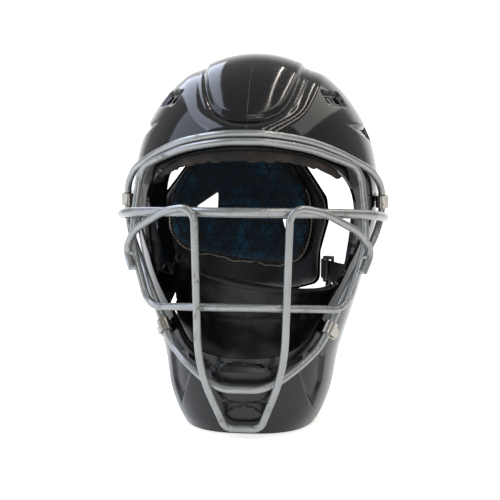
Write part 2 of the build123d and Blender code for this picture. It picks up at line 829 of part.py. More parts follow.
with BuildPart() as liner_binding:
    bound_profile = plate_profile(liner_shares, *liner_size, grow=binding_width)
    add(plate_slab(bound_profile, liner_inset, liner_thickness))
    add(strap_notches, mode=Mode.SUBTRACT)
    add(liner_profile)
    extrude(amount=far, dir=rearward, mode=Mode.SUBTRACT)
save(liner_binding.part, "liner_binding")

# Elastic side straps: they lie on the shell's wall, pass its rear edge and reach the plate's lugs
low_share = (strap_level - strap_width / 2) / (plate_radius * plate_height_share)
wall_radius = (plate_radius - plate_thickness) * sqrt(1 - low_share**2)
lug_edge = plate_half_width * lug_share
lug_back = plate_centre + sqrt(wall_radius**2 - lug_edge**2) - seat_gap - strap_thickness / 2
strap_end = lug_edge + seat_gap + strap_thickness / 2


def wall_sections(shares, level, inset):
    """Section planes across a strap that lies on the shell's wall: x out of the wall."""
    sections = []
    for share in shares:
        skin = skin_plane(turn_at(brow_depth * share, level, inset), level, inset)
        sections.append(Plane(origin=skin.origin, x_dir=skin.z_dir, z_dir=skin.x_dir))
    return sections


def free_section(end, run):
    """An upright section plane at the free end of a strap, across its run."""
    return Plane(origin=end, x_dir=upward.cross(run), z_dir=run)


def strap_band(sections, width, thickness):
    """A strap of one width and thickness, drawn through its section planes."""
    with BuildPart() as band:
        for section in sections:
            with BuildSketch(section):
                Rectangle(thickness, width)
        loft(ruled=True)
    return band.part


adjuster_width = strap_width + 2 * (seat_gap + adjuster_rail)
adjuster_half_height = strap_thickness / 2 + seat_gap + adjuster_thickness
strap_wall = wall_sections(strap_shares, strap_level, strap_inset)
wall_end = strap_wall[-1].origin
for name, lug_across in (("left", strap_end + plate_hang), ("right", strap_end - plate_hang)):
    reach = Vector(lug_across, lug_back, strap_level) - wall_end
    upright = [free_section(wall_end + reach * share, -reach) for share in (strap_turn_share, 1)]
    with BuildPart() as side_strap:
        add(strap_band(strap_wall + upright, strap_width, strap_thickness))
        add(side_holes, mode=Mode.SUBTRACT)

    # The adjuster: two bars over the strap, one bar under it, and a rail along each edge
    along = Plane(origin=wall_end + reach * adjuster_share, x_dir=reach, z_dir=reach.cross(upward))
    with BuildPart() as adjuster:
        with BuildSketch(along):
            RectangleRounded(adjuster_length, adjuster_width, adjuster_rail / 2)
        extrude(amount=adjuster_half_height, both=True)
        with BuildSketch(along):
            Rectangle(2 * adjuster_length, strap_width + 2 * seat_gap)
        extrude(amount=adjuster_half_height - adjuster_thickness, both=True, mode=Mode.SUBTRACT)
        with BuildSketch(along):
            Rectangle(adjuster_length - 2 * adjuster_bar, strap_width)
        extrude(amount=adjuster_half_height, mode=Mode.SUBTRACT)
        with BuildSketch(along):
            with GridLocations(adjuster_length + adjuster_bar, 0, 2, 1):
                Rectangle(adjuster_length, strap_width)
        extrude(amount=-adjuster_half_height, mode=Mode.SUBTRACT)
    print(name, "adjuster at", along.origin, "slides along", along.x_dir)

    strap, slider = side_strap.part, adjuster.part
    if name == "right":
        strap, slider = mirror(strap, about=Plane.YZ), mirror(slider, about=Plane.YZ)
    save(strap, f"side_strap_{name}")
    save(slider, f"strap_adjuster_{name}")

# Crown strap: from the middle of the crown down to the top of the back plate
crown_run = [
    (brow_depth * share, crown_height(brow_depth * share, crown_strap_inset))
    for share in crown_strap_shares
]
top_radius = plate_radius * sqrt(1 - (plate_top / (plate_radius * plate_height_share)) ** 2)
plate_top_back = plate_centre + sqrt(top_radius**2 - plate_hang**2) - plate_thickness / 2
turn_back = crown_run[-1][0] + crown_strap_lean
crown_run.append((turn_back, plate_top + crown_strap_drop))
crown_run.append((plate_top_back, plate_top + 2 * seat_gap + strap_thickness / 2))
with BuildPart() as crown_strap:
    with BuildSketch(Plane.YZ):
        with BuildLine():
            FilletPolyline(crown_run, radius=bend_radii(crown_run))
        trace(line_width=strap_thickness)
    extrude(amount=crown_strap_width / 2, both=True)
    add(crown_hole, mode=Mode.SUBTRACT)
save(crown_strap.part, "crown_strap")

strap_grip = strap_inset + strap_thickness / 2 + 2 * seat_gap
crown_grip = strap_grip + crown_strap_sag
with BuildPart() as strap_rivets:
    add(fixing(side_rivet_seat, strap_grip, rivet_head_radius, rivet_head_height))
    mirror(about=Plane.YZ)
    add(fixing(crown_rivet_seat, crown_grip, rivet_head_radius, rivet_head_height))
save(strap_rivets.part, "strap_rivets")


def cup_form(inset=0):
    """The solid ellipsoid that the chin cup follows, drawn in by an inset."""
    size = (cup_half_width - inset, cup_depth - inset, cup_drop - inset)
    return scale(Sphere(1), by=size).moved(Location(cup_centre))


# Chin cup and its pad: the lower front of the ellipsoid, below an edge that rises to the rear
_, cup_middle, cup_level = cup_centre
cup_front = cup_middle - cup_depth - cut_overrun
cup_edge = cup_level + cup_edge_level
with BuildPart() as cup_keep:
    with BuildSketch(Plane.YZ):
        Polygon(
            (cup_front, cup_edge), (cup_middle - cup_depth, cup_edge),
            (cup_middle + cup_back, cup_edge + cup_edge_rise),
            (cup_middle + cup_back, cup_level - cup_drop - cut_overrun),
            (cup_front, cup_level - cup_drop - cut_overrun), align=None,
        )
    extrude(amount=far, both=True)

cup_layers = {"chin_cup": (0, cup_wall), "chin_cup_pad": (cup_wall + seat_gap, cup_pad_thickness)}
for name, (inset, thickness) in cup_layers.items():
    outer, inner = cup_form(inset), cup_form(inset + thickness)
    with BuildPart() as cup_layer:
        add(outer)
        add(inner, mode=Mode.SUBTRACT)
        add(cup_keep.part, mode=Mode.INTERSECT)
    save(cup_layer.part, name)

# Chin straps: snapped to the shell's wall, then across to the sides of the cup
chin_wall = wall_sections(chin_strap_shares, chin_strap_level, chin_strap_inset)
cup_side = cup_half_width + seat_gap + chin_strap_thickness / 2
cup_end = Vector(cup_side, chin_strap_back, chin_strap_level)
chin_sections = chin_wall + [free_section(cup_end, cup_end - chin_wall[-1].origin)]
with BuildPart() as chin_strap:
    add(strap_band(chin_sections, chin_strap_width, chin_strap_thickness))
    add(snap_hole, mode=Mode.SUBTRACT)
save_pair(chin_strap.part, "chin_strap")

snap_grip = chin_strap_inset + chin_strap_thickness / 2 + 2 * seat_gap
with BuildPart() as chin_snap:
    add(fixing(snap_seat, snap_grip, snap_radius, snap_height))
save_pair(chin_snap.part, "chin_snap")
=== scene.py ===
# %% [markdown]
# A baseball catcher's helmet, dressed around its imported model. The model brings the welded cage,
# the clips and the hardware at their true places. This file adds the camera, the light, the
# finishes, and better meshes for the moulded shell and for everything soft. Sizes are written in
# millimetres and turned to metres as each mesh is made.

# %% Load the frame
from math import cos, pi, radians, sin, sqrt

import bmesh
import bpy
import numpy as np
from mathutils import Matrix, Vector
from mathutils.bvhtree import BVHTree


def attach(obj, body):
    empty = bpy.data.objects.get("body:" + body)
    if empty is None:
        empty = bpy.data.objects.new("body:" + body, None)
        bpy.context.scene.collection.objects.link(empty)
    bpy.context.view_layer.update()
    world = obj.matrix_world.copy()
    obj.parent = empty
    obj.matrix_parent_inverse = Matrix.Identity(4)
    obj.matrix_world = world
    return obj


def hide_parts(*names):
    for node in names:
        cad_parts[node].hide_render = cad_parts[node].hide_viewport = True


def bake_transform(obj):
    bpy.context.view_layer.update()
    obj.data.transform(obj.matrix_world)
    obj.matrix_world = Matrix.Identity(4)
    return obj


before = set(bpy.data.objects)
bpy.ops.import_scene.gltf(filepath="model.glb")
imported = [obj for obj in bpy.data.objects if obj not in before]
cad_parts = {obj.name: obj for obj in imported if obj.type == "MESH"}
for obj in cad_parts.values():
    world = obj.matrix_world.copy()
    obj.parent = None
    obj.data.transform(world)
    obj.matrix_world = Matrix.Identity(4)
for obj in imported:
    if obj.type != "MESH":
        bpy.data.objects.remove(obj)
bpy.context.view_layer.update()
mm = 0.001
scene = bpy.context.scene
scene.view_settings.view_transform = "Standard"

# %% [markdown]
# The camera stands a metre in front of the face, a little to the wearer's left and above the
# middle, and looks down slightly. A long lens keeps the cage from swelling towards the viewer.

# %% Camera
camera_place = Vector((74.8, -957.1, 39.1))
camera_yaw, camera_pitch, camera_roll = radians(-4.82), radians(-4.46), radians(0.46)
camera_lens, camera_sensor = 72.6, 36


def added(name, data):
    """An object of some data, in the scene."""
    thing = bpy.data.objects.new(name, data)
    scene.collection.objects.link(thing)
    return thing


def stand(name, data, place, right, up, back):
    """An object at a place in millimetres, with its own axes along three directions."""
    thing = added(name, data)
    turned = Matrix((right, up, back)).transposed().to_4x4()
    thing.matrix_world = Matrix.Translation(Vector(place) * mm) @ turned
    return thing


ahead = Vector((
    sin(camera_yaw) * cos(camera_pitch), cos(camera_yaw) * cos(camera_pitch), sin(camera_pitch)
))
level_right = Vector((cos(camera_yaw), -sin(camera_yaw), 0))
level_up = level_right.cross(ahead)
right = level_right * cos(camera_roll) + level_up * sin(camera_roll)
up = level_up * cos(camera_roll) - level_right * sin(camera_roll)
camera_data = bpy.data.cameras.new("camera")
camera_data.lens, camera_data.sensor_width = camera_lens, camera_sensor
scene.camera = stand("camera", camera_data, camera_place, right, up, -ahead)
print("camera is", round(camera_place.length * mm, 2), "m from the middle of the head")

# %% [markdown]
# Every finish here is a small tree of shader nodes. One function adds a node with its settings and
# its links, in the tree that the links come from, so a material reads as a list of what the real
# surface does. Colours are written as the hex values that a screen shows, and one function turns
# them to the linear values that the renderer works in.

# %% Helpers for materials


def linear(code):
    """A colour's linear values from its screen hex code."""
    shares = [int(code[start:start + 2], 16) / 255 for start in (1, 3, 5)]
    return *[s / 12.92 if s <= 0.04045 else ((s + 0.055) / 1.055) ** 2.4 for s in shares], 1


def add_node(kind, inputs, tree=None, **settings):
    """A node in the tree that its links come from. Its inputs are values, colour codes or links."""
    links = {name: end for name, end in inputs.items() if isinstance(end, bpy.types.NodeSocket)}
    tree = tree or next(iter(links.values())).id_data
    node = tree.nodes.new("ShaderNode" + kind)
    for name, value in settings.items():
        setattr(node, name, value)
    for name, value in inputs.items():
        if name in links:
            tree.links.new(value, node.inputs[name])
        else:
            node.inputs[name].default_value = linear(value) if isinstance(value, str) else value
    return node


def new_material(name):
    """An empty material, and the surface's place on the object, in metres."""
    material = bpy.data.materials.new(name)
    material.use_nodes = True
    material.node_tree.nodes.clear()
    print("finish:", name)
    return material, add_node("TexCoord", {}, material.node_tree).outputs["Object"]


def mixed(share, first, second):
    """A colour between two, where the share goes from nothing to one."""
    return add_node("Mix", {0: share, 6: first, 7: second}, data_type="RGBA").outputs[2]


def noise(place, size, detail=3.0, rough=0.5, out="Fac"):
    """Soft random values that change over about a size in millimetres."""
    inputs = {"Vector": place, "Scale": 1 / (size * mm), "Detail": detail, "Roughness": rough}
    return add_node("TexNoise", inputs).outputs[out]


def ramp(value, low, high):
    """A value that runs from nothing at low to one at high."""
    inputs = {"Value": value, "From Min": low, "From Max": high}
    return add_node("MapRange", inputs, interpolation_type="SMOOTHSTEP").outputs["Result"]


def spots(place, size, low, high, detail=3.0, rough=0.5):
    """Random spots of a size: nothing where the noise is low, one where it is high."""
    return ramp(noise(place, size, detail, rough), low, high)


def sum_of(kind, *values):
    """The result of one sum on values or on other sums."""
    return add_node("Math", dict(enumerate(values)), operation=kind).outputs[0]


def weighed(base, *parts):
    """A base value, and to it each part's value times its weight."""
    for value, weight in parts:
        base = sum_of("ADD", sum_of("MULTIPLY", value, weight), base)
    return base


def stretched(place, scale, turn=(0, 0, 0)):
    """Places that a noise reads as stretched along an axis, after a turn."""
    return add_node("Mapping", {"Vector": place, "Rotation": turn, "Scale": scale}).outputs[0]


def bumped(height, depth, normal=None):
    """A surface normal, bent by a height whose full range is a depth in millimetres."""
    inputs = {"Height": height, "Distance": depth * mm, "Strength": 1.0}
    if normal:
        inputs["Normal"] = normal
    return add_node("Bump", inputs).outputs["Normal"]


def finish_with(**inputs):
    """Ends a tree with a surface shader whose inputs are given by their names."""
    named = {name.replace("_", " "): value for name, value in inputs.items()}
    surface = add_node("BsdfPrincipled", named).outputs[0]
    add_node("OutputMaterial", {"Surface": surface})


# %% [markdown]
# The shell is glossy black ABS, pressed in a polished mould. It is nearly black by itself, and
# what the eye sees is the room in it. Use has left dull smudges and fine hairline scratches, the
# chin is scuffed duller, and the mould's parting line runs down the middle of the brow.

# %% Moulded black ABS
abs_black, abs_dust, dust_share = "#0c0d0f", "#2b2824", 0.5
abs_gloss, smudge_dulls, scratch_dulls, scuff_dulls = 0.075, 0.10, 0.25, 0.17
smudge_size, grit_size, ripple_size, ripple_depth = 34.0, 2.2, 21.0, 0.10
scratch_length, scratch_width, scratch_depth, scratch_turn = 26.0, 0.5, 0.03, (0.5, 0.9, 0.3)
parting_half_width, parting_height = 0.3, 0.06
scuff_top, scuff_bottom = -75, -135

shell_plastic, place = new_material("glossy_black_abs")
smudge = spots(place, smudge_size, 0.5, 0.72, 5.0, 0.6)
grit = spots(place, grit_size, 0.56, 0.74, 4.0, 0.7)
along_scratch = stretched(place, (scratch_width / scratch_length, 1.0, 1.0), scratch_turn)
hair = spots(along_scratch, scratch_width * 2, 0.72, 0.78, 1.0)
across, _, height = add_node("SeparateXYZ", {"Vector": place}).outputs
scuffed = ramp(height, scuff_top * mm, scuff_bottom * mm)
parting = ramp(sum_of("ABSOLUTE", across), parting_half_width * mm, 0.0)
dust = sum_of("MULTIPLY", sum_of("MULTIPLY", smudge, grit), dust_share)
rough = weighed(abs_gloss, (smudge, smudge_dulls), (hair, scratch_dulls), (scuffed, scuff_dulls))
marks = bumped(noise(place, ripple_size, 2.0), ripple_depth)
marks = bumped(hair, -scratch_depth, bumped(parting, parting_height, marks))
finish_with(Base_Color=mixed(dust, abs_black, abs_dust), Roughness=rough, IOR=1.5, Normal=marks)

# %% [markdown]
# The shell follows a head form: a half ellipsoid for the crown, and below it level sections that
# narrow towards the jaw and grow squarer. A grid of points on that form gives full control of
# every groove and recess, which a box model with subdivision would only round off. The form's
# sizes are the model's own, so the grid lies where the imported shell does.

# %% The head form
crown_base, crown_rise, crown_centre = 25, 125, -2
shell_half_width, brow_depth, jaw_drop, shell_wall = 114, 128, 215, 4.5
crown_middle = np.array([0, crown_centre, crown_base])
crown_radii = np.array([shell_half_width, brow_depth, crown_rise])
jaw_section_shares = np.array([
    (0, 1, 1, 0, 2),
    (0.14, 0.988, 0.992, 0.014, 2.02),
    (0.26, 0.94, 0.94, 0.045, 2.1),
    (0.40, 0.872, 0.883, 0.078, 2.25),
    (0.545, 0.786, 0.836, 0.109, 2.42),
    (0.69, 0.695, 0.805, 0.141, 2.6),
    (0.83, 0.645, 0.781, 0.156, 2.7),
    (0.92, 0.585, 0.758, 0.156, 2.7),
    (1, 0.50, 0.70, 0.156, 2.6),
])


def smooth_through(table, where):
    """Values between a table's rows, found by its first column, on curves that don't overshoot."""
    knots, values = table[:, 0], table[:, 1:]
    gaps = np.diff(knots)[:, None]
    slopes = np.diff(values, axis=0) / gaps
    product, total = slopes[1:] * slopes[:-1], slopes[1:] + slopes[:-1]
    inner = np.where(product > 0, 2 * product / np.where(total == 0, 1, total), 0)
    tangents = np.vstack([slopes[:1] * 0, inner, slopes[-1:]])
    row = np.clip(np.searchsorted(knots, where, side="right") - 1, 0, len(knots) - 2)
    gap = gaps[row]
    t = (where - knots[row])[:, None] / gap
    start, end = values[row], values[row + 1]
    bend = (tangents[row] * (1 - t) - tangents[row + 1] * t) * gap + (end - start) * (2 * t - 1)
    return start + (end - start) * t + bend * t * (1 - t)


def sections(height, inset=0.0):
    """Half width, depth, centre and squareness of the head form at heights."""
    height = np.atleast_1d(np.asarray(height, float))
    rise = np.clip((height - crown_base) / (crown_rise - inset), 0, 1)
    drop = np.clip((crown_base - height) / jaw_drop, 0, 1)
    width, depth, back, square = smooth_through(jaw_section_shares, drop).T
    crown, shrink = height >= crown_base, np.sqrt(1 - rise**2)
    return (
        np.where(crown, (shell_half_width - inset) * shrink, shell_half_width * width - inset),
        np.where(crown, (brow_depth - inset) * shrink, brow_depth * depth - inset),
        crown_centre - np.where(crown, 0, back) * brow_depth,
        np.where(crown, 2.0, square),
    )


def form_points(level, turn, inset=0.0):
    """Points of the head form. Above zero a level is a crown angle in degrees, below it a drop."""
    rise = (crown_rise - inset) * np.sin(np.radians(np.maximum(level, 0)))
    height = crown_base + np.where(level > 0, rise, level)
    half, deep, centre, square = sections(height, inset)
    across, ahead = np.sin(turn), np.cos(turn)
    reach = (np.abs(across / half) ** square + np.abs(ahead / deep) ** square) ** (-1 / square)
    return np.column_stack([reach * across, centre - reach * ahead, height])


print("the form is", 2 * shell_half_width, "mm wide and", crown_rise + jaw_drop, "mm tall")

# %% [markdown]
# Outlines of openings and recesses are a few corner points with rounded corners, seen from the
# front or from the side. A signed distance says how far each grid point lies inside an outline.
# Where it is nothing, the grid is cut, and the recesses rise and fall by it over a soft edge.

# %% Outlines and distances
tiny = 1e-9


def height_at(share):
    """A height from a share of the form's rise, or of its drop below nothing."""
    return crown_base + (crown_rise if share > 0 else jaw_drop) * share


def front_places(shares):
    """Points seen from the front, from shares of the half width and of the rise or drop."""
    return [(shell_half_width * across, height_at(height)) for across, height in shares]


def side_places(shares):
    """Points seen from the side, from shares of the depth and of the rise or drop."""
    return [(brow_depth * back, height_at(height)) for back, height in shares]


def mirrored(points):
    """A half outline, with its mirror image joined on before it."""
    return [(-x, y) for x, y in reversed(points)] + list(points)


def rounded(corners, reach=1e9, steps=8):
    """A closed outline whose corners are curves that start up to a reach before them."""
    corners = np.array(corners, float)
    before, after = np.roll(corners, 1, axis=0) - corners, np.roll(corners, -1, axis=0) - corners
    points = []
    for corner, back, on in zip(corners, before, after):
        start = corner + back * min(0.5, reach / np.hypot(*back))
        end = corner + on * min(0.5, reach / np.hypot(*on))
        for t in np.linspace(0, 1, steps):
            points.append(start * (1 - t) ** 2 + corner * 2 * t * (1 - t) + end * t**2)
    return np.array(points)


def front_outline(shares, reach=1e9):
    """A rounded outline on both sides of the middle, from the shares of its left half."""
    return rounded(mirrored(front_places(shares)), reach)


def smooth_line(points, steps=10):
    """A smooth open line through points on a plane or in space."""
    points = np.array(points, float)
    ends = np.vstack([2 * points[0] - points[1], points, 2 * points[-1] - points[-2]])
    line = []
    for a, b, c, d in zip(ends, ends[1:], ends[2:], ends[3:]):
        for t in np.linspace(0, 1, steps, endpoint=False):
            bend = (c - a) * t + (2 * a - 5 * b + 4 * c - d) * t**2 + (3 * b - a - 3 * c + d) * t**3
            line.append(b + bend / 2)
    return np.array(line + [points[-1]])


def outward(line):
    """Unit steps to the outside of a closed line, where it runs against the clock."""
    run = np.roll(line, -1, axis=0) - np.roll(line, 1, axis=0)
    return np.column_stack([-run[:, 1], run[:, 0]]) / (np.hypot(*run.T)[:, None] + tiny)


def inside(points, outline):
    """How far points lie inside a closed outline. Outside, the distance is negative."""
    nearest, within = np.full(len(points), np.inf), np.zeros(len(points), bool)
    for a, b in zip(outline, np.roll(outline, -1, axis=0)):
        run, to = b - a, points - a
        if not run.any():
            continue
        share = np.clip(to @ run / (run @ run), 0, 1)
        nearest = np.minimum(nearest, np.hypot(*(to - share[:, None] * run).T))
        crosses = (a[1] > points[:, 1]) != (b[1] > points[:, 1])
        rise = run[1] if run[1] else 1.0
        within ^= crosses & (to[:, 0] < run[0] * to[:, 1] / rise)
    return np.where(within, nearest, -nearest)


def soft_step(distance, edge):
    """Rises from nothing to one over an edge's width about zero distance."""
    t = np.clip(distance / edge + 0.5, 0, 1)
    return t * t * (3 - 2 * t)


def rising(distance, width):
    """Rises evenly from nothing to one over a width."""
    return np.clip(distance / width, 0, 1)


def mound(distance, half_width):
    """A smooth mound over zero distance."""
    return np.exp(-((distance / half_width) ** 2))


def unit(steps):
    """Steps made one long."""
    return steps / np.linalg.norm(steps, axis=-1, keepdims=True)


print("outlines reach up to", height_at(1), "and down to", height_at(-1), "mm")

# %% [markdown]
# A thin wall and a foam pad are both made the same way. A flat grid is trimmed along the outline,
# so that its edge has points exactly on it, and then every grid point is placed twice, once on
# each face of the piece. The two skins are joined along their edges into one closed mesh.

# %% Trimmed grids


def grid_faces(rows, columns, wraps=False):
    """The squares of a grid of points, numbered row by row."""
    faces = []
    for row in range(rows - 1):
        for column in range(columns if wraps else columns - 1):
            beside = (column + 1) % columns
            first, below = row * columns, (row + 1) * columns
            faces.append((first + column, below + column, below + beside, first + beside))
    return faces


def trimmed(grid, faces, level):
    """A grid of points and its faces, cut along the line where a level passes through nothing."""
    cut = bmesh.new()
    corners = [cut.verts.new(point) for point in grid]
    for face in faces:
        cut.faces.new([corners[index] for index in face])
    values = dict(zip(corners, level))
    for edge in list(cut.edges):
        a, b = edge.verts
        if values[a] * values[b] < 0:
            share = values[a] / (values[a] - values[b])
            place = a.co.lerp(b.co, share)
            _, between = bmesh.utils.edge_split(edge, a, share)
            between.co = place
            values[between] = 0.0
    for face in list(cut.faces):
        of_face = [values[vert] for vert in face.verts]
        on_line = [vert for vert in face.verts if values[vert] == 0]
        if len(on_line) == 2 and min(of_face) < 0 < max(of_face):
            bmesh.utils.face_split(face, *on_line)
    for face in list(cut.faces):
        if sum(values[vert] for vert in face.verts) <= 0:
            cut.faces.remove(face)
    loose = [vert for vert in cut.verts if not vert.link_faces]
    bmesh.ops.delete(cut, geom=loose, context="VERTS")
    cut.verts.index_update()
    kept = np.array([vert.co for vert in cut.verts])
    kept_faces = [[vert.index for vert in face.verts] for face in cut.faces]
    edge_points = np.array([vert.is_boundary for vert in cut.verts])
    cut.free()
    return kept, kept_faces, edge_points


def trimmed_sheet(first, second, distance, snap=0.0):
    """A flat sheet, trimmed where a distance is nothing: its places, faces and distances."""
    u, v = (value.ravel() for value in np.meshgrid(first, second, indexing="ij"))
    level = distance(u, v)
    level[np.abs(level) < snap] = 0
    squares = grid_faces(len(first), len(second))
    kept, faces, on_edge = trimmed(np.column_stack([u, v, u * 0]), squares, level)
    u, v = kept[:, 0], kept[:, 1]
    return u, v, faces, np.where(on_edge, 0, np.maximum(distance(u, v), 0))


print("an open grid of 3 by 3 points has", len(grid_faces(3, 3)), "squares")

# %% Closed pieces, finishes and bodies


def new_piece(name, points, faces, material):
    """A smooth mesh object from points in millimetres."""
    mesh = bpy.data.meshes.new(name)
    mesh.from_pydata([tuple(point) for point in np.asarray(points) * mm], [], faces)
    mesh.validate()
    mesh.materials.append(material)
    mesh.shade_smooth()
    return added(name, mesh)


def closed_piece(name, front, back, faces, material):
    """One closed piece from two matching skins, joined along their free edges."""
    count, loops = len(front), [list(face) for face in faces]
    used = dict.fromkeys(pair for face in loops for pair in zip(face, face[1:] + face[:1]))
    rims = [(b, a, a + count, b + count) for a, b in used if (b, a) not in used]
    behind = [[index + count for index in reversed(face)] for face in loops]
    return new_piece(name, np.vstack([front, back]), loops + behind + rims, material)


def flip_side(mesh):
    """Turns a mesh of the wearer's left into its mirror image on the right."""
    mesh.transform(Matrix.Scale(-1, 4, (1, 0, 0)))
    mesh.flip_normals()


def soften_edges(piece, width, angle, segments=2):
    """Rounds a piece's sharp edges, and keeps its broad faces smooth."""
    bevel = piece.modifiers.new("soft_edges", "BEVEL")
    bevel.width, bevel.segments = width * mm, segments
    bevel.limit_method, bevel.angle_limit = "ANGLE", radians(angle)
    bevel.harden_normals = True


def settle(piece, body, slot_name, *nodes, fill=None):
    """Puts a piece on its body, in place of its nodes. Its slot name and filling are not used."""
    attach(piece, body)
    if nodes:
        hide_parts(*nodes)


def coat(material, slot_name, *names):
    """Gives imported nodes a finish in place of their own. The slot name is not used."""
    for name in names:
        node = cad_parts[name]
        node.data.materials.clear()
        node.data.materials.append(material)


print("helpers for meshes are ready")

# %% [markdown]
# The front shell carries the helmet's whole look. A U-shaped groove bounds a domed brow panel
# that lies a little deeper than the wings beside it, and each wing breaks along a soft crest.
# Pockets lie in the crown, the sides and the jaws, the first two with slots that let air in. A
# thin step runs round the face opening, and the chin has a stepped block over a flat panel. Each
# of these is a depth under the form, found from an outline, so the mould's drafted walls and soft
# edges come with them.

# %% Outlines of the shell
opening_shares = [
    (0.22, 0.256), (0.55, 0.205), (0.81, 0.04), (0.845, -0.19), (0.765, -0.345), (0.57, -0.5),
    (0.385, -0.668),
]
panel_shares = [(0.235, 0.452), (0.39, 0.70), (0.51, 1.4)]
chin_block_shares = [(0.255, -0.682), (0.255, -0.765), (0.195, -0.842)]
chin_panel_shares = [(0.21, -0.855), (0.19, -1.2)]
gill_shares = [(-0.55, 0.455), (0.06, 0.465), (-0.02, 0.31), (-0.34, 0.37)]
gill_slot_shares = [(-0.30, 0.43), (-0.03, 0.435), (-0.07, 0.36)]
jaw_vent_shares = [(0.44, -0.645), (0.60, -0.668), (0.575, -0.78), (0.50, -0.885), (0.40, -0.73)]
rear_edge_shares = [
    (0.953, 0.44), (0.69, 0.30), (0.52, 0.12), (0.45, -0.116), (0.43, -0.302), (0.385, -0.423),
    (0.27, -0.495), (0.07, -0.545), (-0.105, -0.612), (-0.215, -0.73), (-0.262, -0.86),
    (-0.28, -0.972),
]
crown_vent_place = front_places([(0.64, 0.632)])[0]
crown_vent_size, crown_vent_corner = (33, 18), 4
vent_slot_size, vent_slot_corner, vent_slot_pitch = (10, 8), 1.5, 13
ear_port_place, ear_port_radius = side_places([(0.2, -0.16)])[0], 12
rear_vent_place, rear_vent_size = (shell_half_width * 0.24, brow_depth * 0.41), (9, 34)
outline_corner, outside = 2, 500
box_corners = np.array([(-1, -1), (1, -1), (1, 1), (-1, 1)])


def box_outline(size, corner, middle=(0, 0)):
    """A rounded rectangle about a middle."""
    return rounded(middle + box_corners * size / 2, corner)


front_opening, brow_panel = front_outline(opening_shares), front_outline(panel_shares)
chin_block, chin_panel = front_outline(chin_block_shares), front_outline(chin_panel_shares)
gill = rounded(side_places(gill_shares), outline_corner)
gill_slot = rounded(side_places(gill_slot_shares), outline_corner)
jaw_vent = rounded(front_places(jaw_vent_shares), outline_corner)
rear_line = smooth_line(side_places(rear_edge_shares))
shell_side = np.vstack([rear_line, [
    (-outside, rear_line[-1][1]), (-outside, outside), (outside, outside),
    (outside, rear_line[0][1]),
]])
print("the face opening has", len(front_opening), "points")

# %% [markdown]
# Each recess is a distance to an outline, turned into a depth. The crown vents lie on a slope, so
# their outlines are drawn on a plane of their own, and a point on the wearer's right is folded to
# the left before it is compared.

# %% Distances on the shell
across, height = crown_vent_place
half, deep, centre, _ = (value[0] for value in sections(height))
vent_middle = np.array([across, centre - deep * sqrt(1 - (across / half) ** 2), height])
vent_normal = unit((vent_middle - crown_middle) / crown_radii**2)
vent_level = unit(np.cross((0, 0, 1), vent_normal))
vent_up = np.cross(vent_normal, vent_level)


def folded(points):
    """Points with those on the wearer's right mirrored to the left."""
    return np.column_stack([np.abs(points[:, 0]), points[:, 1:]])


def vent_distance(points, outline):
    """How far points lie inside an outline that is drawn on the crown vent's own plane."""
    local = folded(points) - vent_middle
    flat = np.column_stack([local @ vent_level, local @ vent_up])
    near = np.linalg.norm(local, axis=1) < max(crown_vent_size)
    return np.where(near, inside(flat, outline), -outside)


def front_distance(points, outline):
    """How far points lie inside an outline seen from the front, behind the crown's middle none."""
    return np.where(points[:, 1] < crown_centre, inside(points[:, [0, 2]], outline), -outside)


def side_distance(points, outline):
    """How far points lie inside an outline seen from either side."""
    return inside(points[:, 1:], outline)


def shell_level(points):
    """Positive where the shell is, and negative in its openings and behind its rear edge."""
    holes = [front_distance(points, front_opening), side_distance(points, gill_slot)]
    for shift in (-vent_slot_pitch / 2, vent_slot_pitch / 2):
        slot_outline = box_outline(vent_slot_size, vent_slot_corner, (shift, 0))
        holes.append(vent_distance(points, slot_outline))
    holes.append(ear_port_radius - np.hypot(*(points[:, 1:] - ear_port_place).T))
    rear_vent = box_outline(rear_vent_size, rear_vent_size[0] / 2, rear_vent_place)
    on_crown = points[:, 2] > crown_base
    holes.append(np.where(on_crown, inside(folded(points)[:, :2], rear_vent), -outside))
    return np.minimum(side_distance(points, shell_side), -np.max(holes, axis=0))


print("the left crown vent lies at", vent_middle.round(1))

# %% [markdown]
# The mould's panel is the same dome set back, so the outer face blends between the form and that
# dome, and the wall behind it lies deeper too. Depths are then taken off along the normal.

# %% Cuts and recesses of the shell
rim_width, rim_depth, rim_edge = 9, 1.2, 1.2
panel_depth, panel_setback = 0.8, 4.7
lining_margin, lining_extra, lining_edge = 7, 2.0, 6
groove_half_width, groove_depth, groove_wall = 3.8, 2.9, 5.6
crest_width, crest_depth, crest_power, crest_level, crest_rise = 13, 3.0, 1.3, 84, 26
vent_depth, wall_draft = 3.2, 3.0
chin_block_proud, chin_block_inset, chin_block_edge, chin_panel_depth = 4.5, 1, 3.0, 2


def drawn_back(points, depth):
    """Points drawn in towards the crown's middle by a depth, and in front by the setback too."""
    shrink = 1 - (depth + np.array([0, panel_setback, 0])) / crown_radii
    return crown_middle + (points - crown_middle) * shrink


def behind_panel(places):
    """One behind the brow panel and its groove, seen from the front, and nothing beside them."""
    return soft_step(inside(places, brow_panel) + lining_margin, lining_edge)


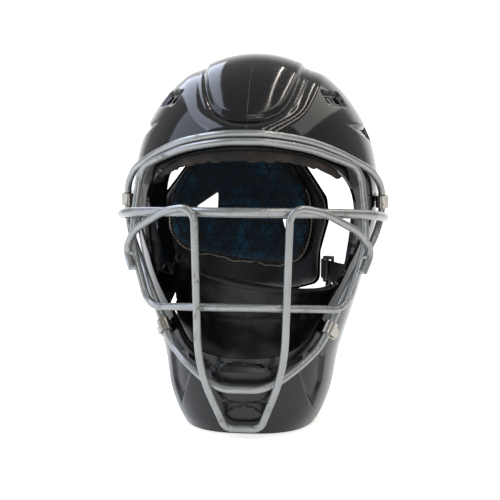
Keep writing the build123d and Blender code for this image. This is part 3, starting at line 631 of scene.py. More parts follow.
def shell_skin(level, turn):
    """The shell's outer face: the form, set back in its panel and cut down in its recesses."""
    points = form_points(level, turn)
    groove = inside(points[:, [0, 2]], brow_panel)
    panel = soft_step(groove, groove_wall)
    crown = (points[:, 2] > crown_base)[:, None]
    set_back = points + (drawn_back(points, panel_depth) - points) * panel[:, None]
    slope = (points - crown_middle) / crown_radii**2
    normal = unit(np.where(crown, slope, points - form_points(level, turn, 1.0)))

    channel = soft_step(groove_half_width - np.abs(groove), groove_wall) * groove_depth
    to_crest = np.clip(1 + (groove + groove_half_width) / crest_width, 0, 1) * (groove < 0)
    wing = to_crest**crest_power * crest_depth * soft_step(points[:, 2] - crest_level, crest_rise)
    depth = np.where(crown[:, 0], np.maximum(channel, wing * (1 - panel)), 0)
    rim = soft_step(front_distance(points, front_opening) + rim_width, rim_edge) * rim_depth
    pockets = [
        vent_distance(points, box_outline(crown_vent_size, crown_vent_corner)),
        side_distance(points, gill),
        front_distance(folded(points), jaw_vent),
    ]
    pocket = soft_step(np.max(pockets, axis=0) - wall_draft / 2, wall_draft) * vent_depth
    in_block = front_distance(points, chin_block) - chin_block_inset
    proud = soft_step(in_block, chin_block_edge) * chin_block_proud
    depth = np.maximum.reduce([depth, rim, pocket]) - proud
    face = np.where(crown, set_back, points) - normal * depth[:, None]

    chin_top = height_at(chin_panel_shares[0][1])
    _, chin_deep, chin_middle, _ = (value[0] for value in sections(chin_top))
    flat_back = np.maximum(face[:, 1], chin_middle - chin_deep + chin_panel_depth)
    face[:, 1] = np.where(front_distance(points, chin_panel) > 0, flat_back, face[:, 1])
    return face


def shell_lining(level, turn):
    """The shell's inner face: the form at the wall's depth, deeper behind the panel and groove."""
    points, outer = form_points(level, turn, shell_wall), form_points(level, turn)
    behind = behind_panel(outer[:, [0, 2]]) * (outer[:, 2] > crown_base)
    return points + (drawn_back(points, lining_extra) - points) * behind[:, None]


print("the wall behind the panel lies", panel_setback + lining_extra, "mm deeper")

# %% [markdown]
# The grid is a fan of rings, from just beside the crown's top down to the chin. Its columns stand
# closer together at the face, where the recesses are, than at the back.

# %% Build the front shell
crown_rows, jaw_rows, turn_columns = ((124, 140, 480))
top_angle, even_share = 89.4, 0.72
row_levels = np.concatenate([
    np.linspace(top_angle, 0, crown_rows, endpoint=False), np.linspace(0, -jaw_drop, jaw_rows)
])
along = np.linspace(-1, 1, turn_columns, endpoint=False)
turns = pi * (even_share * along + (1 - even_share) * along**3)
levels, turns = (value.ravel() for value in np.meshgrid(row_levels, turns, indexing="ij"))
grid = np.column_stack([np.sin(turns), np.cos(turns), levels])
squares = grid_faces(len(row_levels), turn_columns, wraps=True)
squares.append(tuple(range(turn_columns)))
first_points = form_points(levels, np.arctan2(grid[:, 0], grid[:, 1]))
kept, shell_faces, _ = trimmed(grid, squares, shell_level(first_points))
kept_places = kept[:, 2], np.arctan2(kept[:, 0], kept[:, 1])
front_shell = closed_piece(
    "shell", shell_skin(*kept_places), shell_lining(*kept_places), shell_faces, shell_plastic
)
soften_edges(front_shell, 0.7, 50)
settle(front_shell, "helmet", "shell_plastic", "front_shell")
print("the shell has", len(shell_faces), "faces on its outer skin")

# %% [markdown]
# The cage is cold-drawn steel wire, bent and welded, then painted in a satin grey. Sprayed paint
# gives soft, broad highlights with a faint orange peel, and it is rubbed duller and browner where
# hands and dirt reach it. The wires are good as imported, so they only take the paint.

# %% Painted steel wire
paint_grey, paint_light, paint_worn = "#8d8f8e", "#a8aaa9", "#6b655d"
wires = ("perimeter_wire", "mouth_wire", "eye_bar", "centre_frame")

cage_paint, place = new_material("satin_grey_paint")
rubbed = spots(place, 11.0, 0.55, 0.75, 6.0, 0.65)
tone = mixed(noise(place, 26.0, 4.0, 0.6), paint_grey, paint_light)
waves = bumped(noise(place, 9.0, 3.0), 0.25)
finish_with(
    Base_Color=mixed(rubbed, tone, paint_worn), Metallic=0.65,
    Roughness=weighed(0.25, (rubbed, 0.18)),
    Normal=bumped(noise(place, 1.6, 2.0), 0.05, waves),
)
coat(cage_paint, "cage_steel", *wires)

# %% [markdown]
# The clips are pressed from zinc-plated strip, and the screws, rivets and snaps are nickel-plated.
# Plating is bright with a fine brushed grain and a little tarnish. The nuts are hidden behind the
# wall, and share the finish.

# %% Plated steel
plating, plating_tarnish = "#aaa69e", "#746e64"
grain_size, grain_stretch, grain_depth = 1.4, 0.08, 0.04

plated_steel, place = new_material("bright_plated_steel")
drawn = stretched(place, (1.0, 1.0, grain_stretch))
tarnish = spots(place, 5.0, 0.50, 0.74, 5.0, 0.6)
finish_with(
    Base_Color=mixed(tarnish, plating, plating_tarnish), Metallic=1.0,
    Roughness=weighed(0.22, (tarnish, 0.20)),
    Normal=bumped(noise(drawn, grain_size, 3.0, 0.7), grain_depth),
)
coat(plated_steel, "clip_steel", "side_clip_left", "side_clip_right", "jaw_clip_left",
     "jaw_clip_right")
coat(plated_steel, "screw_steel", "cage_screws", "cage_nuts", "strap_rivets")
coat(plated_steel, "snap_metal", "chin_snap_left", "chin_snap_right")

# %% [markdown]
# The back plate is moulded from the same family of plastic as the shell, with the same gloss, and
# the strap adjusters are nylon: a softer sheen with a fine moulded grain.

# %% Moulded plate and nylon adjusters
nylon_black, nylon_light = "#141517", "#1d1e21"

coat(shell_plastic, "plate_plastic", "back_plate")
soften_edges(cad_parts["back_plate"], 0.6, 50)

nylon, place = new_material("moulded_black_nylon")
finish_with(
    Base_Color=mixed(noise(place, 4.0), nylon_black, nylon_light),
    Roughness=0.42, Normal=bumped(noise(place, 0.5, 2.0), 0.04),
)
for name in ("strap_adjuster_left", "strap_adjuster_right"):
    coat(nylon, "slider_plastic", name)
    soften_edges(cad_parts[name], 0.4, 40)

# %% [markdown]
# Foam and its covers come next. The brow foam is bare closed-cell foam gone brown with use, the
# other pads are foam skinned in black vinyl with a fine pebble grain, and the back liner is cloth.
# A pad is flat where it lies on the shell, crowned towards the head, and its sides pull in.

# %% Foam and vinyl
vinyl_black, vinyl_worn, vinyl_grain = "#101112", "#26272a", 1.1
foam_dark, foam_brown, foam_cell = "#15110e", "#3a3028", 0.9


def grains(place, size, feature="F1"):
    """Distances from the middles of random cells of a size in millimetres."""
    inputs = {"Vector": place, "Scale": 1 / (size * mm)}
    return add_node("TexVoronoi", inputs, feature=feature).outputs["Distance"]


black_vinyl, place = new_material("grained_black_vinyl")
patches = spots(place, 18.0, 0.42, 0.70, 4.0, 0.6)
folds = bumped(noise(place, 14.0, 4.0, 0.55), 0.5)
finish_with(
    Base_Color=mixed(patches, vinyl_black, vinyl_worn),
    Roughness=weighed(0.46, (patches, 0.16)),
    Normal=bumped(grains(place, vinyl_grain, "SMOOTH_F1"), 0.10, folds),
)

brow_foam, place = new_material("closed_cell_foam")
stain = spots(place, 22.0, 0.36, 0.66, 5.0, 0.65)
crumple = bumped(noise(place, 6.0, 4.0, 0.6), 0.5)
finish_with(
    Base_Color=mixed(stain, foam_dark, foam_brown), Roughness=0.88,
    Sheen_Weight=0.25, Sheen_Roughness=0.5,
    Normal=bumped(grains(place, foam_cell), -0.12, crumple),
)

# %% Where the pads lie
pad_gap, seam_least, seam_width = 0.5, 2.0, 3
round_share, crown_share, crown_reach = 0.75, 0.14, 22
snap_share = 0.08


def left_over(share, square):
    """How far a level section reaches one way, at a share of its size the other way."""
    return np.clip(1 - np.abs(share) ** square, 0, 1) ** (1 / square)


def inner_section(height, depth):
    """The head form's section at a depth inside the shell's wall."""
    half, deep, centre, square = sections(height)
    return half - shell_wall - depth, deep - shell_wall - depth, centre, square


def skin_from_front(u, v, depth):
    """Points of the head form under front-view places."""
    half, deep, centre, square = inner_section(v, depth)
    return np.column_stack([u, centre - deep * left_over(u / half, square), v])


def skin_from_side(u, v, depth):
    """Points on the wearer's left, under side-view places."""
    half, deep, centre, square = inner_section(v, depth)
    return np.column_stack([half * left_over((u - centre) / deep, square), u, v])


def skin_from_above(u, v, depth):
    """Points of the crown under places seen from above."""
    inset = shell_wall + depth
    share = (u / (shell_half_width - inset)) ** 2
    share = share + ((v - crown_centre) / (brow_depth - inset)) ** 2
    rise = (crown_rise - inset) * np.sqrt(np.clip(1 - share, 0, 1))
    return np.column_stack([u, v, crown_base + rise])


def rounded_rise(edge, width):
    """Rises from nothing to one over a width, as a quarter circle does."""
    return np.sqrt(1 - (1 - rising(edge, width)) ** 2)


def swollen(edge, thickness, flat=0.35):
    """Depths of a pad's two faces at a distance from its edge, where both meet in a seam."""
    swell = rounded_rise(edge, thickness * round_share)
    crown = 1 - crown_share + crown_share * rising(edge, crown_reach)
    seam = thickness * flat
    return pad_gap + seam * (1 - swell), pad_gap + seam + (thickness - seam) * swell * crown


def cushion(
    name, outline, skin, thickness, material, relief=None, holes=(), cell=2.4, flat=0.35, clear=None
):
    """A pad within an outline: flat on one skin, crowned on the other, and round at its edges."""
    low, high = outline.min(axis=0) - cell, outline.max(axis=0) + cell
    counts = np.ceil((high - low) / cell).astype(int) + 1

    def to_edge(u, v):
        points = np.column_stack([u, v])
        inner = -np.max([inside(points, hole) for hole in holes], axis=0) if holes else 1e9
        return np.minimum(inside(points, outline), inner)

    stops = (np.linspace(*span) for span in zip(low, high, counts))
    u, v, faces, edge = trimmed_sheet(*stops, to_edge, snap_share * cell)
    places = np.column_stack([u, v])
    outer_depth, inner_depth = swollen(edge, thickness, flat)
    if clear is not None:
        outer_depth = outer_depth + clear(places)
        least = outer_depth + seam_least * rising(edge, seam_width)
        inner_depth = np.maximum(inner_depth, least)
    if relief is not None:
        inner_depth = inner_depth - relief(places, edge) * rising(edge, seam_width)
    return closed_piece(name, skin(u, v, outer_depth), skin(u, v, inner_depth), faces, material)


print("pads lie", pad_gap, "mm inside the wall")

# %% [markdown]
# The brow foam shows from the front as a brown-black roll under the brow. Its lower edge was cut
# by hand and is worn, so it wanders by a millimetre or two, and small nibbles are missing. The
# crown pad is not seen from the front. It is covered, with two sewn channels along it.

# %% Brow foam and crown pad
forehead_shares = [
    (0.395, 0.176), (0.62, 0.09), (0.70, 0.05), (0.69, 0.22), (0.60, 0.45), (0.42, 0.60),
    (0.2, 0.64),
]
forehead_thickness, nibble_size = 14, 0.9
worn_depth, worn_reach = 1.1, 4
worn_waves = ((1, 4.1, 0), (0.7, 1.9, 1.3), (0.5, 9.7, 0.4))
crown_pad_half_width, crown_pad_front, crown_pad_back, crown_pad_corner = 46, 56, 28, 18
crown_clear, crown_clear_fall = 3.6, 2.2


def worn_edge(points, edge):
    """Foam worn away near its edge, in waves of several heights, lengths and shifts."""
    waves = sum(size * np.sin(points[:, 0] / long + shift) for size, long, shift in worn_waves)
    most = sum(size for size, _, _ in worn_waves)
    return worn_depth * (1 + waves / most) * np.exp(-edge / worn_reach)


def nibbled(outline, size, seed):
    """An outline whose points are moved in and out a little, as a hand-cut edge is."""
    rng = np.random.default_rng(seed)
    steps = np.linspace(0, 1, 4, endpoint=False)[:, None]
    ends = zip(outline, np.roll(outline, -1, axis=0))
    dense = np.vstack([a + (b - a) * steps for a, b in ends if np.hypot(*(b - a)) > 0])
    shifts = rng.normal(0, size, len(dense))
    shifts = (shifts + np.roll(shifts, 1) + np.roll(shifts, 2)) / 3
    return dense - outward(dense) * shifts[:, None]


def under_front(places):
    """How much deeper the brow foam lies, seen from the front."""
    return behind_panel(places) * (panel_depth + panel_setback + lining_extra)


def under_top(places):
    """How much deeper the crown pad lies, seen from above."""
    return crown_clear - crown_clear_fall * places[:, 1] / crown_pad_front


forehead = cushion(
    "brow_foam", nibbled(front_outline(forehead_shares), nibble_size, 4), skin_from_front,
    forehead_thickness, brow_foam, relief=worn_edge, clear=under_front,
)
settle(forehead, "helmet", "brow_foam", "forehead_pad", fill=0.8)


def crown_channels(points, edge):
    """Two sewn channels along the crown pad."""
    return 3.0 * mound(np.abs(points[:, 0]) - crown_pad_half_width / 3, 2.2)


crown_outline = box_outline(
    (2 * crown_pad_half_width, crown_pad_front + crown_pad_back), crown_pad_corner,
    (0, (crown_pad_back - crown_pad_front) / 2),
)
crown_pad = cushion(
    "crown_cushion", crown_outline, skin_from_above, forehead_thickness, black_vinyl,
    relief=crown_channels, clear=under_top,
)
settle(crown_pad, "helmet", "pad_vinyl", "crown_pad", fill=0.75)
print("the brow foam's edge is worn by up to", 2 * worn_depth, "mm")

# %% Side pads
temple_shares = [(-0.42, 0.01), (-0.42, 0.20), (-0.36, 0.42), (0.28, 0.43), (0.30, 0.01)]
ear_pad_shares = [(-0.45, -0.10), (0.015, -0.10), (0.015, -0.375), (-0.40, -0.375)]
jaw_pad_shares = [(-0.56, -0.51), (-0.16, -0.51), (-0.22, -0.70), (-0.60, -0.70)]
chin_pad_shares = [(0.41, -0.715), (0.37, -0.90)]
side_pad_thickness, jaw_pad_thickness, pad_corner = 12, 8, 9
channel_pitch, channel_half_width, channel_depth = 15, 2, 3


def upright_channels(points, edge):
    """Pressed channels that part a pad into upright ribs."""
    shift = channel_pitch / 2
    nearest = np.abs((points[:, 0] - points[:, 0].mean() + shift) % channel_pitch - shift)
    return channel_depth * mound(nearest, channel_half_width)


side_pads = {
    "temple_pad": (temple_shares, side_pad_thickness, None, 0.7),
    "ear_pad": (ear_pad_shares, side_pad_thickness, upright_channels, 0.75),
    "jaw_pad": (jaw_pad_shares, jaw_pad_thickness, None, 0.7),
}
for name, (shares, thickness, relief, fill) in side_pads.items():
    outline = rounded(side_places(shares), pad_corner)
    left_pad = cushion(
        name + "_cushion_left", outline, skin_from_side, thickness, black_vinyl, relief=relief
    )
    twin = added(name + "_cushion_right", left_pad.data.copy())
    flip_side(twin.data)
    settle(left_pad, "helmet", "pad_vinyl", name + "_left", fill=fill)
    settle(twin, "helmet", "pad_vinyl", name + "_right", fill=fill)

chin_pad = cushion(
    "chin_cushion", front_outline(chin_pad_shares, pad_corner), skin_from_front,
    side_pad_thickness, black_vinyl,
)
settle(chin_pad, "helmet", "pad_vinyl", "chin_pad", fill=0.7)
print("inner pads:", 3 + 2 * len(side_pads))

# %% [markdown]
# The back plate's lining is what the eye meets through the face opening: a thick black pad, and on
# it a cloth-covered liner in dark teal with an overall pattern of triangles. The cloth is printed
# jersey over soft foam, so the print bends with the cushion. The pattern here is a plain triangle
# lattice, drawn in the shader by three sets of lines from a pitch in millimetres, which needs no
# flat pattern or image. Its edge is bound in a woven tape and sewn in a pale thread.

# %% Printed jersey and its sewing
teal, teal_light, print_dark = "#082130", "#124a64", "#040b12"
triangle_pitch, line_half_width, print_shift = 16.0, 0.6, 3.2
knit_pitch, binding_pitch, wave_length = 0.7, 1.1, 0.32
thread_shade, thread_colour = "#a39a88", "#cfc8ba"
binding_dark, binding_light = "#1b1714", "#4a4038"


def vector_sum(kind, *values, **named):
    """A sum on places and directions."""
    return add_node("VectorMath", dict(enumerate(values)) | named, operation=kind).outputs


def woven(place, pitch, distortion, direction):
    """Soft bands of about a pitch in millimetres. Bands of scale one are a wave's length wide."""
    inputs = {"Vector": place, "Scale": wave_length / (pitch * mm), "Distortion": distortion}
    return add_node("TexWave", inputs, bands_direction=direction).outputs["Fac"]


printed_jersey, place = new_material("printed_teal_jersey")
wander = noise(place, 31, 2.0, out="Color")
shift = vector_sum("SUBTRACT", wander, (0.5, 0.5, 0.5))[0]
shift = vector_sum("SCALE", shift, Scale=print_shift * 4 * mm)[0]
moved = vector_sum("ADD", place, shift)[0]
lines = 1.0
for turn in (0, 60, 120):
    across_lines = (cos(radians(turn + 90)), 0.0, sin(radians(turn + 90)))
    run = vector_sum("DOT_PRODUCT", moved, across_lines)["Value"]
    phase = sum_of("PINGPONG", run, triangle_pitch * sin(pi / 3) * mm / 2)
    near = ramp(phase, (line_half_width + 0.5) * mm, (line_half_width - 0.2) * mm)
    lines = sum_of("MULTIPLY", lines, sum_of("SUBTRACT", 1.0, near))
faded = spots(place, 17.0, 0.35, 0.65)
facet_tone = spots(moved, 30.0, 0.42, 0.66, 2.0)
ground = mixed(sum_of("MULTIPLY", facet_tone, faded), teal, teal_light)
soft = bumped(noise(place, 13.0, 3.0), 0.7)
finish_with(
    Base_Color=mixed(lines, print_dark, ground), Roughness=0.86,
    Sheen_Weight=0.2, Sheen_Roughness=0.45,
    Normal=bumped(woven(place, knit_pitch, 1.0, "DIAGONAL"), 0.10, soft),
)

sewing_thread, place = new_material("pale_sewing_thread")
twist = noise(place, 0.8, 2.0)
finish_with(
    Base_Color=mixed(twist, thread_shade, thread_colour), Roughness=0.8,
    Normal=bumped(twist, 0.15),
)

edge_binding, place = new_material("woven_edge_binding")
rub = spots(place, 9.0, 0.45, 0.68, 4.0)
finish_with(
    Base_Color=mixed(rub, binding_dark, binding_light), Roughness=0.9,
    Normal=bumped(woven(place, binding_pitch, 0.6, "Z"), 0.12),
)
print("the lattice has a pitch of", triangle_pitch, "mm")

# %% Outlines of the back plate's lining
plate_hang, plate_centre, plate_radius, plate_height_share = -19, 15, 112, 1.47
plate_thickness, plate_half_width, plate_top, plate_bottom = 3, 88, 66, 85
plate_shares = [
    (0.38, 1), (0.70, 0.73), (0.97, 0.20), (1, -0.10), (0.9, -0.50), (0.9, -0.87), (0.55, -1),
]
liner_shares = [
    (-0.35, 1), (-0.70, 0.86), (-0.96, 0.35), (-1, -0.12), (-0.97, -0.46), (-0.75, -0.66),
    (-0.3, -0.79), (0.25, -0.88), (0.65, -0.90), (0.92, -0.76), (1, -0.42), (1.02, -0.1),
    (0.96, 0.35), (0.70, 0.86), (0.35, 1),
]
upper_vent_shares = [(0.34, 0.27), (0.62, 0.01), (0.345, 0.0)]
lower_vent_shares = [(0.34, -0.17), (0.52, -0.17), (0.46, -0.36)]
sliver_shares = [(0.44, -0.14), (0.51, -0.14), (0.475, -0.35)]
lining_corner, lining_vent_corner = 11, 2


def skin_of_plate(inset):
    """A place on the back plate's spheroid at an inset, for points seen from the front."""
    def place_points(u, v, depth):
        level_radius = plate_radius - inset - depth
        rise = np.clip(1 - (v / (plate_radius * plate_height_share - inset - depth)) ** 2, 0, 1)
        across_share = ((u - plate_hang) / level_radius) ** 2
        back = plate_centre + level_radius * np.sqrt(np.clip(rise - across_share, 0, 1))
        return np.column_stack([u, back, v])
    return place_points


def lining_outline(shares, half, top, bottom, middle):
    """A rounded outline of the plate's lining, from shares above and below its middle."""
    return rounded([(middle + half * x, z * (top if z > 0 else bottom)) for x, z in shares],
                   lining_corner)


def vent_hole(shares, side):
    """A vent through the lining with rounded corners, on one side of the plate's middle."""
    places = [(plate_hang + side * plate_half_width * x, plate_top * z) for x, z in shares]
    return rounded(places, lining_vent_corner)


vents = {(name, side): vent_hole(shares, side) for side in (-1, 1) for name, shares in (
    ("upper", upper_vent_shares), ("lower", lower_vent_shares)
)}
print("the lining has", len(vents), "vents")

# %% [markdown]
# The pad fills the plate. The liner lies on it, and its cloth has slipped over three of the four
# vents behind it, so light comes only through the upper one on the wearer's right and a sliver of
# the lower one on the left. The cloth puckers where it meets its binding.

# %% Back pad and liner
plate_pad_thickness, plate_pad_margin, seat_gap = 10, 2.5, 0.3
liner_thickness, liner_offset, liner_half_width, liner_top, liner_bottom = 8, -5, 70, 58, 63
pucker_depth, pucker_pitch, pucker_reach = 0.8, 2.6, 3
stitch_inset, stitch_sink, stitch_furrow = 2.4, 0.6, 1.3
wave_depth, wave_reach = 0.9, 20


def puckered(points, edge):
    """Small gathers beside the binding, and a furrow along the line of stitches."""
    u, v = points.T
    gathers = pucker_depth * (1 + np.sin((u + v) / pucker_pitch)) * np.exp(-edge / pucker_reach)
    furrow = stitch_sink * mound(edge - stitch_inset, stitch_furrow)
    return gathers + furrow + wave_depth * np.sin(u / 13 + v / 21) * rising(edge, wave_reach)


back_pad_outline = lining_outline(
    mirrored(plate_shares), plate_half_width, plate_top, plate_bottom, plate_hang
)
back_pad = cushion(
    "back_cushion", back_pad_outline - outward(back_pad_outline) * plate_pad_margin,
    skin_of_plate(plate_thickness + seat_gap - pad_gap), plate_pad_thickness, black_vinyl,
    holes=list(vents.values()), flat=0.3,
)
settle(back_pad, "rear_plate", "pad_vinyl", "back_pad", fill=0.75)

liner_skin = skin_of_plate(plate_thickness + plate_pad_thickness + 2 * seat_gap - pad_gap)
liner_outline = lining_outline(
    liner_shares, liner_half_width, liner_top, liner_bottom, plate_hang + liner_offset
)
liner = cushion(
    "printed_liner", liner_outline, liner_skin, liner_thickness, printed_jersey,
    relief=puckered, holes=[vents["upper", -1], vent_hole(sliver_shares, 1)], cell=2.0,
)
settle(liner, "rear_plate", "liner_cloth", "back_liner", fill=0.6)
print("liner and pad are", liner_thickness, "and", plate_pad_thickness, "mm thick")

# %% [markdown]
# The binding is a woven tape folded over the liner's edge: a flattened roll that follows the
# outline all round. The stitches are one short raised thread each, laid in the furrow along a
# line that wanders as the seamstress's hand did.

# %% Binding and stitches
binding_step, binding_half_width, binding_half_height, binding_sides = 1.5, 1.5, 1.3, 12


def evenly(line, step, closed=True):
    """A line with points at even steps along it."""
    line = np.vstack([line, line[:1]]) if closed else np.asarray(line)
    along = np.concatenate([[0], np.cumsum(np.hypot(*np.diff(line, axis=0).T))])
    stops = np.linspace(0, along[-1], max(int(along[-1] / step), 2), endpoint=not closed)
    return np.column_stack([np.interp(stops, along, line[:, axis]) for axis in (0, 1)])


def tube_faces(rings, sides, closed_run, first=0):
    """The squares of a tube, with its ends filled unless it closes on itself."""
    faces = []
    for row in range(rings if closed_run else rings - 1):
        here, on = first + row * sides, first + ((row + 1) % rings) * sides
        for side in range(sides):
            beside = (side + 1) % sides
            faces.append((here + side, here + beside, on + beside, on + side))
    if not closed_run:
        faces.append(tuple(first + side for side in reversed(range(sides))))
        faces.append(tuple(first + (rings - 1) * sides + side for side in range(sides)))
    return faces


def ring_on(skin, centre, step, depth, half_width, half_height, sides):
    """A ring of points about a place on a skin, which runs along a step and in depth."""
    turns = np.linspace(0, 2 * pi, sides, endpoint=False)
    at = centre + np.outer(np.cos(turns) * half_width, step)
    return skin(at[:, 0], at[:, 1], depth + np.sin(turns) * half_height)


bound_line = evenly(liner_outline, binding_step)
bound_out = outward(bound_line)
binding_size = binding_half_width, binding_half_height, binding_sides
binding_points = [
    point for centre, step in zip(bound_line, bound_out)
    for point in ring_on(liner_skin, centre, step, pad_gap + 0.35 * liner_thickness, *binding_size)
]
binding = new_piece(
    "liner_edge_binding", binding_points, tube_faces(len(bound_line), binding_sides, True),
    edge_binding,
)
settle(binding, "rear_plate", "binding_cloth", "liner_binding")

stitch_length, stitch_gap, stitch_radius, stitch_sides, stitch_step = 3.2, 0.5, 0.6, 6, 0.45
stitch_arch, stitch_dip = 1.4, 0.35
stitch_waves = ((1, 6.3, 0), (0.6, 2.7, 1))
stitch_wave_height, stitch_top = 1.1, 22


def stitched(name, line, skin, thickness, material):
    """Short raised threads along a line on a cushion, which dip in at both ends."""
    points, faces = [], []
    dense = evenly(line, stitch_step, closed=False)
    pitch = int((stitch_length + stitch_gap) / stitch_step)
    length = int(stitch_length / stitch_step)
    for start in range(0, len(dense) - length, pitch):
        run = dense[start:start + length + 1]
        heading = run[-1] - run[0]
        side_step = np.array([-heading[1], heading[0]]) / (np.hypot(*heading) + tiny)
        edge = np.maximum(inside(run, liner_outline), 0)
        depth = swollen(edge, thickness)[1] - puckered(run, edge) * rising(edge, seam_width)
        arch = np.sin(np.linspace(0, pi, len(run))) * stitch_radius * stitch_arch - stitch_dip
        faces += tube_faces(len(run), stitch_sides, False, len(points))
        for centre, deep in zip(run, depth + arch):
            points.extend(
                ring_on(skin, centre, side_step, deep, stitch_radius, stitch_radius, stitch_sides)
            )
    return new_piece(name, points, faces, material)


low_line = bound_line - bound_out * stitch_inset
waves = sum(size * np.sin(low_line[:, 0] / long + shift) for size, long, shift in stitch_waves)
low_line = low_line - bound_out * (waves * stitch_wave_height)[:, None]
low_line = np.roll(low_line, -int(np.argmax(low_line[:, 1])), axis=0)
left_rise = (low_line[:, 0] > 0) & (low_line[:, 1] < stitch_top)
low_line = low_line[(low_line[:, 1] < 0) | left_rise]
stitches = stitched("liner_stitches", low_line, liner_skin, liner_thickness, sewing_thread)
settle(stitches, "rear_plate", "liner_cloth")
print("the binding is", round(len(bound_line) * binding_step), "mm long")

# %% [markdown]
# The straps are knitted elastic, dull black with fine ribs along their length. They are riveted to
# the shell's wall and hold the back plate. The chin straps are vinyl over webbing and hold the cup.

# %% Elastic webbing
webbing_black, webbing_worn, weave_pitch = "#131315", "#2b2b2e", 1.1

elastic, place = new_material("ribbed_elastic_webbing")
worn = spots(place, 7.0, 0.45, 0.70, 4.0)
finish_with(
    Base_Color=mixed(worn, webbing_black, webbing_worn), Roughness=0.85,
    Sheen_Weight=0.2, Sheen_Roughness=0.5,
    Normal=bumped(woven(place, weave_pitch, 0.8, "Y"), 0.15),
)

# %% Straps
rib_height, strap_columns, strap_edge_share, route_steps = 0.18, 21, 0.35, 8


def strap(name, edges, thickness, material, ribs=True):
    """A band between two edge routes, with ribs along its length and rounded edges."""
    first, second = (smooth_line(edge, route_steps) for edge in edges)
    shares = np.linspace(0, 1, strap_columns)
    normal = unit(np.cross(np.gradient((first + second) / 2, axis=0), second - first))
    rib = np.cos(shares * pi * (strap_columns - 1)) * rib_height if ribs else shares * 0
    edge = np.sqrt(1 - (2 * shares - 1) ** 8)
    half = thickness / 2 * (strap_edge_share + (1 - strap_edge_share) * edge) + rib - rib_height
    rows = first[:, None] + (second - first)[:, None] * shares[None, :, None]
    skins = [
        (rows + normal[:, None] * side * half[None, :, None]).reshape(-1, 3) for side in (1, -1)
    ]
    return closed_piece(name, *skins, grid_faces(len(first), strap_columns), material)


def hang(band, node, body, start, end):
    """Puts a band in place of its node, with its placement baked into its points. The body is not
    used, and the start and end are turned to metres but not used further.
    """
    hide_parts(node)
    start, end = (tuple(value * mm for value in place) for place in (start, end))
    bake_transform(band)


def side_band(name, node, side, body, shares, slope, end, width, thickness, material, ribs=True):
    """A band on one side, from the inside of the shell's wall to an end on another body."""
    edges = []
    for half in (width / 2, -width / 2):
        back = brow_depth * np.array(shares)
        wall = skin_from_side(back, back * 0 + end[2] - slope + half, pad_gap + thickness / 2)
        edges.append([*wall, (end[0], end[1], end[2] + half)])
    band = strap(name, edges, thickness, material, ribs)
    if side < 0:
        flip_side(band.data)
    hang(band, node, body, *((side * x, y, end[2]) for x, y, _ in edges[0][-2:]))


strap_level, strap_width, strap_thickness, strap_slope = -59, 20, 1.8, 3
strap_shares, lug_share = (0.22, 0.30, 0.37, 0.44), 0.9
low_share = (strap_level - strap_width / 2) / (plate_radius * plate_height_share)
wall_radius = (plate_radius - plate_thickness) * sqrt(1 - low_share**2)
lug_edge, lug_clear = plate_half_width * lug_share, seat_gap + strap_thickness / 2
lug_back = plate_centre + sqrt(wall_radius**2 - lug_edge**2) - lug_clear
for name, side in (("left", 1), ("right", -1)):
    strap_end = (lug_edge + lug_clear + side * plate_hang, lug_back, strap_level)
    side_band(
        "elastic_side_strap_" + name, "side_strap_" + name, side, "rear_plate", strap_shares,
        strap_slope, strap_end, strap_width, strap_thickness, elastic,
    )

crown_strap_shares = (0.42, 0.52, 0.60, 0.68, 0.76, 0.83)
crown_strap_width, crown_strap_drop, crown_strap_lean = 30, 5.5, 1
crown_sag = crown_strap_width**2 / (8 * shell_half_width)
crown_inset = shell_wall + pad_gap + strap_thickness / 2 + crown_sag
crown_run = []
for back in (brow_depth * share for share in crown_strap_shares):
    level_share = (back - crown_centre) / (brow_depth - crown_inset)
    rise = (crown_rise - crown_inset) * sqrt(1 - level_share**2)
    crown_run.append((back, crown_base + rise))
top_radius = plate_radius * sqrt(1 - (plate_top / (plate_radius * plate_height_share)) ** 2)
plate_top_back = plate_centre + sqrt(top_radius**2 - plate_hang**2) - plate_thickness / 2
crown_run.append((crown_run[-1][0] + crown_strap_lean, plate_top + crown_strap_drop))
crown_run.append((plate_top_back, plate_top + 2 * seat_gap + strap_thickness / 2))
crown_edges = [
    [(side * crown_strap_width / 2, back, height) for back, height in crown_run]
    for side in (1, -1)
]
crown_band = strap("elastic_crown_strap", crown_edges, strap_thickness, elastic)
hang(crown_band, "crown_strap", "rear_plate", (0, *crown_run[-3]), (0, *crown_run[-1]))
print("straps are", strap_width, "and", crown_strap_width, "mm wide")

# %% [markdown]
# The chin cup is a moulded shell under black vinyl, with a soft pad inside it. The vinyl was
# stretched over the cup by hand, so it creases where it turns, and one arc of stitching crosses
# the front. Both layers follow an ellipsoid, and the creases are real relief in the mesh.

# %% Chin cup and its pad
cup_centre, cup_radii = np.array((0, -8, -62)), np.array((77, 57, 90))
cup_wall, cup_pad_thickness, cup_back, cup_fullness = 3, 7, 12, 0.55
cup_edge_level, cup_edge_rise, cup_edge_tilt = 1, 10, 0.165
cup_seam_level, cup_seam_drop, cup_seam_depth, cup_seam_width = -84, 10, 1.5, 1.3
gather_depth, gather_waves, gather_reach = 0.75, 23, 7
slack_depth, slack_reach = 0.6, 12
hem_height, hem_inset, hem_width = 1.6, 2.6, 2.2
fold_depth, fold_inset, fold_width, fold_turn = 1.8, 8, 2.6, 1.1


def cup_points(turn, fall, inset):
    """Points of the cup's ellipsoid: a turn from the front, and a fall from its widest level."""
    radii = cup_radii - inset
    reach = np.cos(fall) ** cup_fullness
    return cup_centre + np.column_stack([
        radii[0] * np.sin(turn) * reach, -radii[1] * np.cos(turn) * reach, -radii[2] * np.sin(fall),
    ])


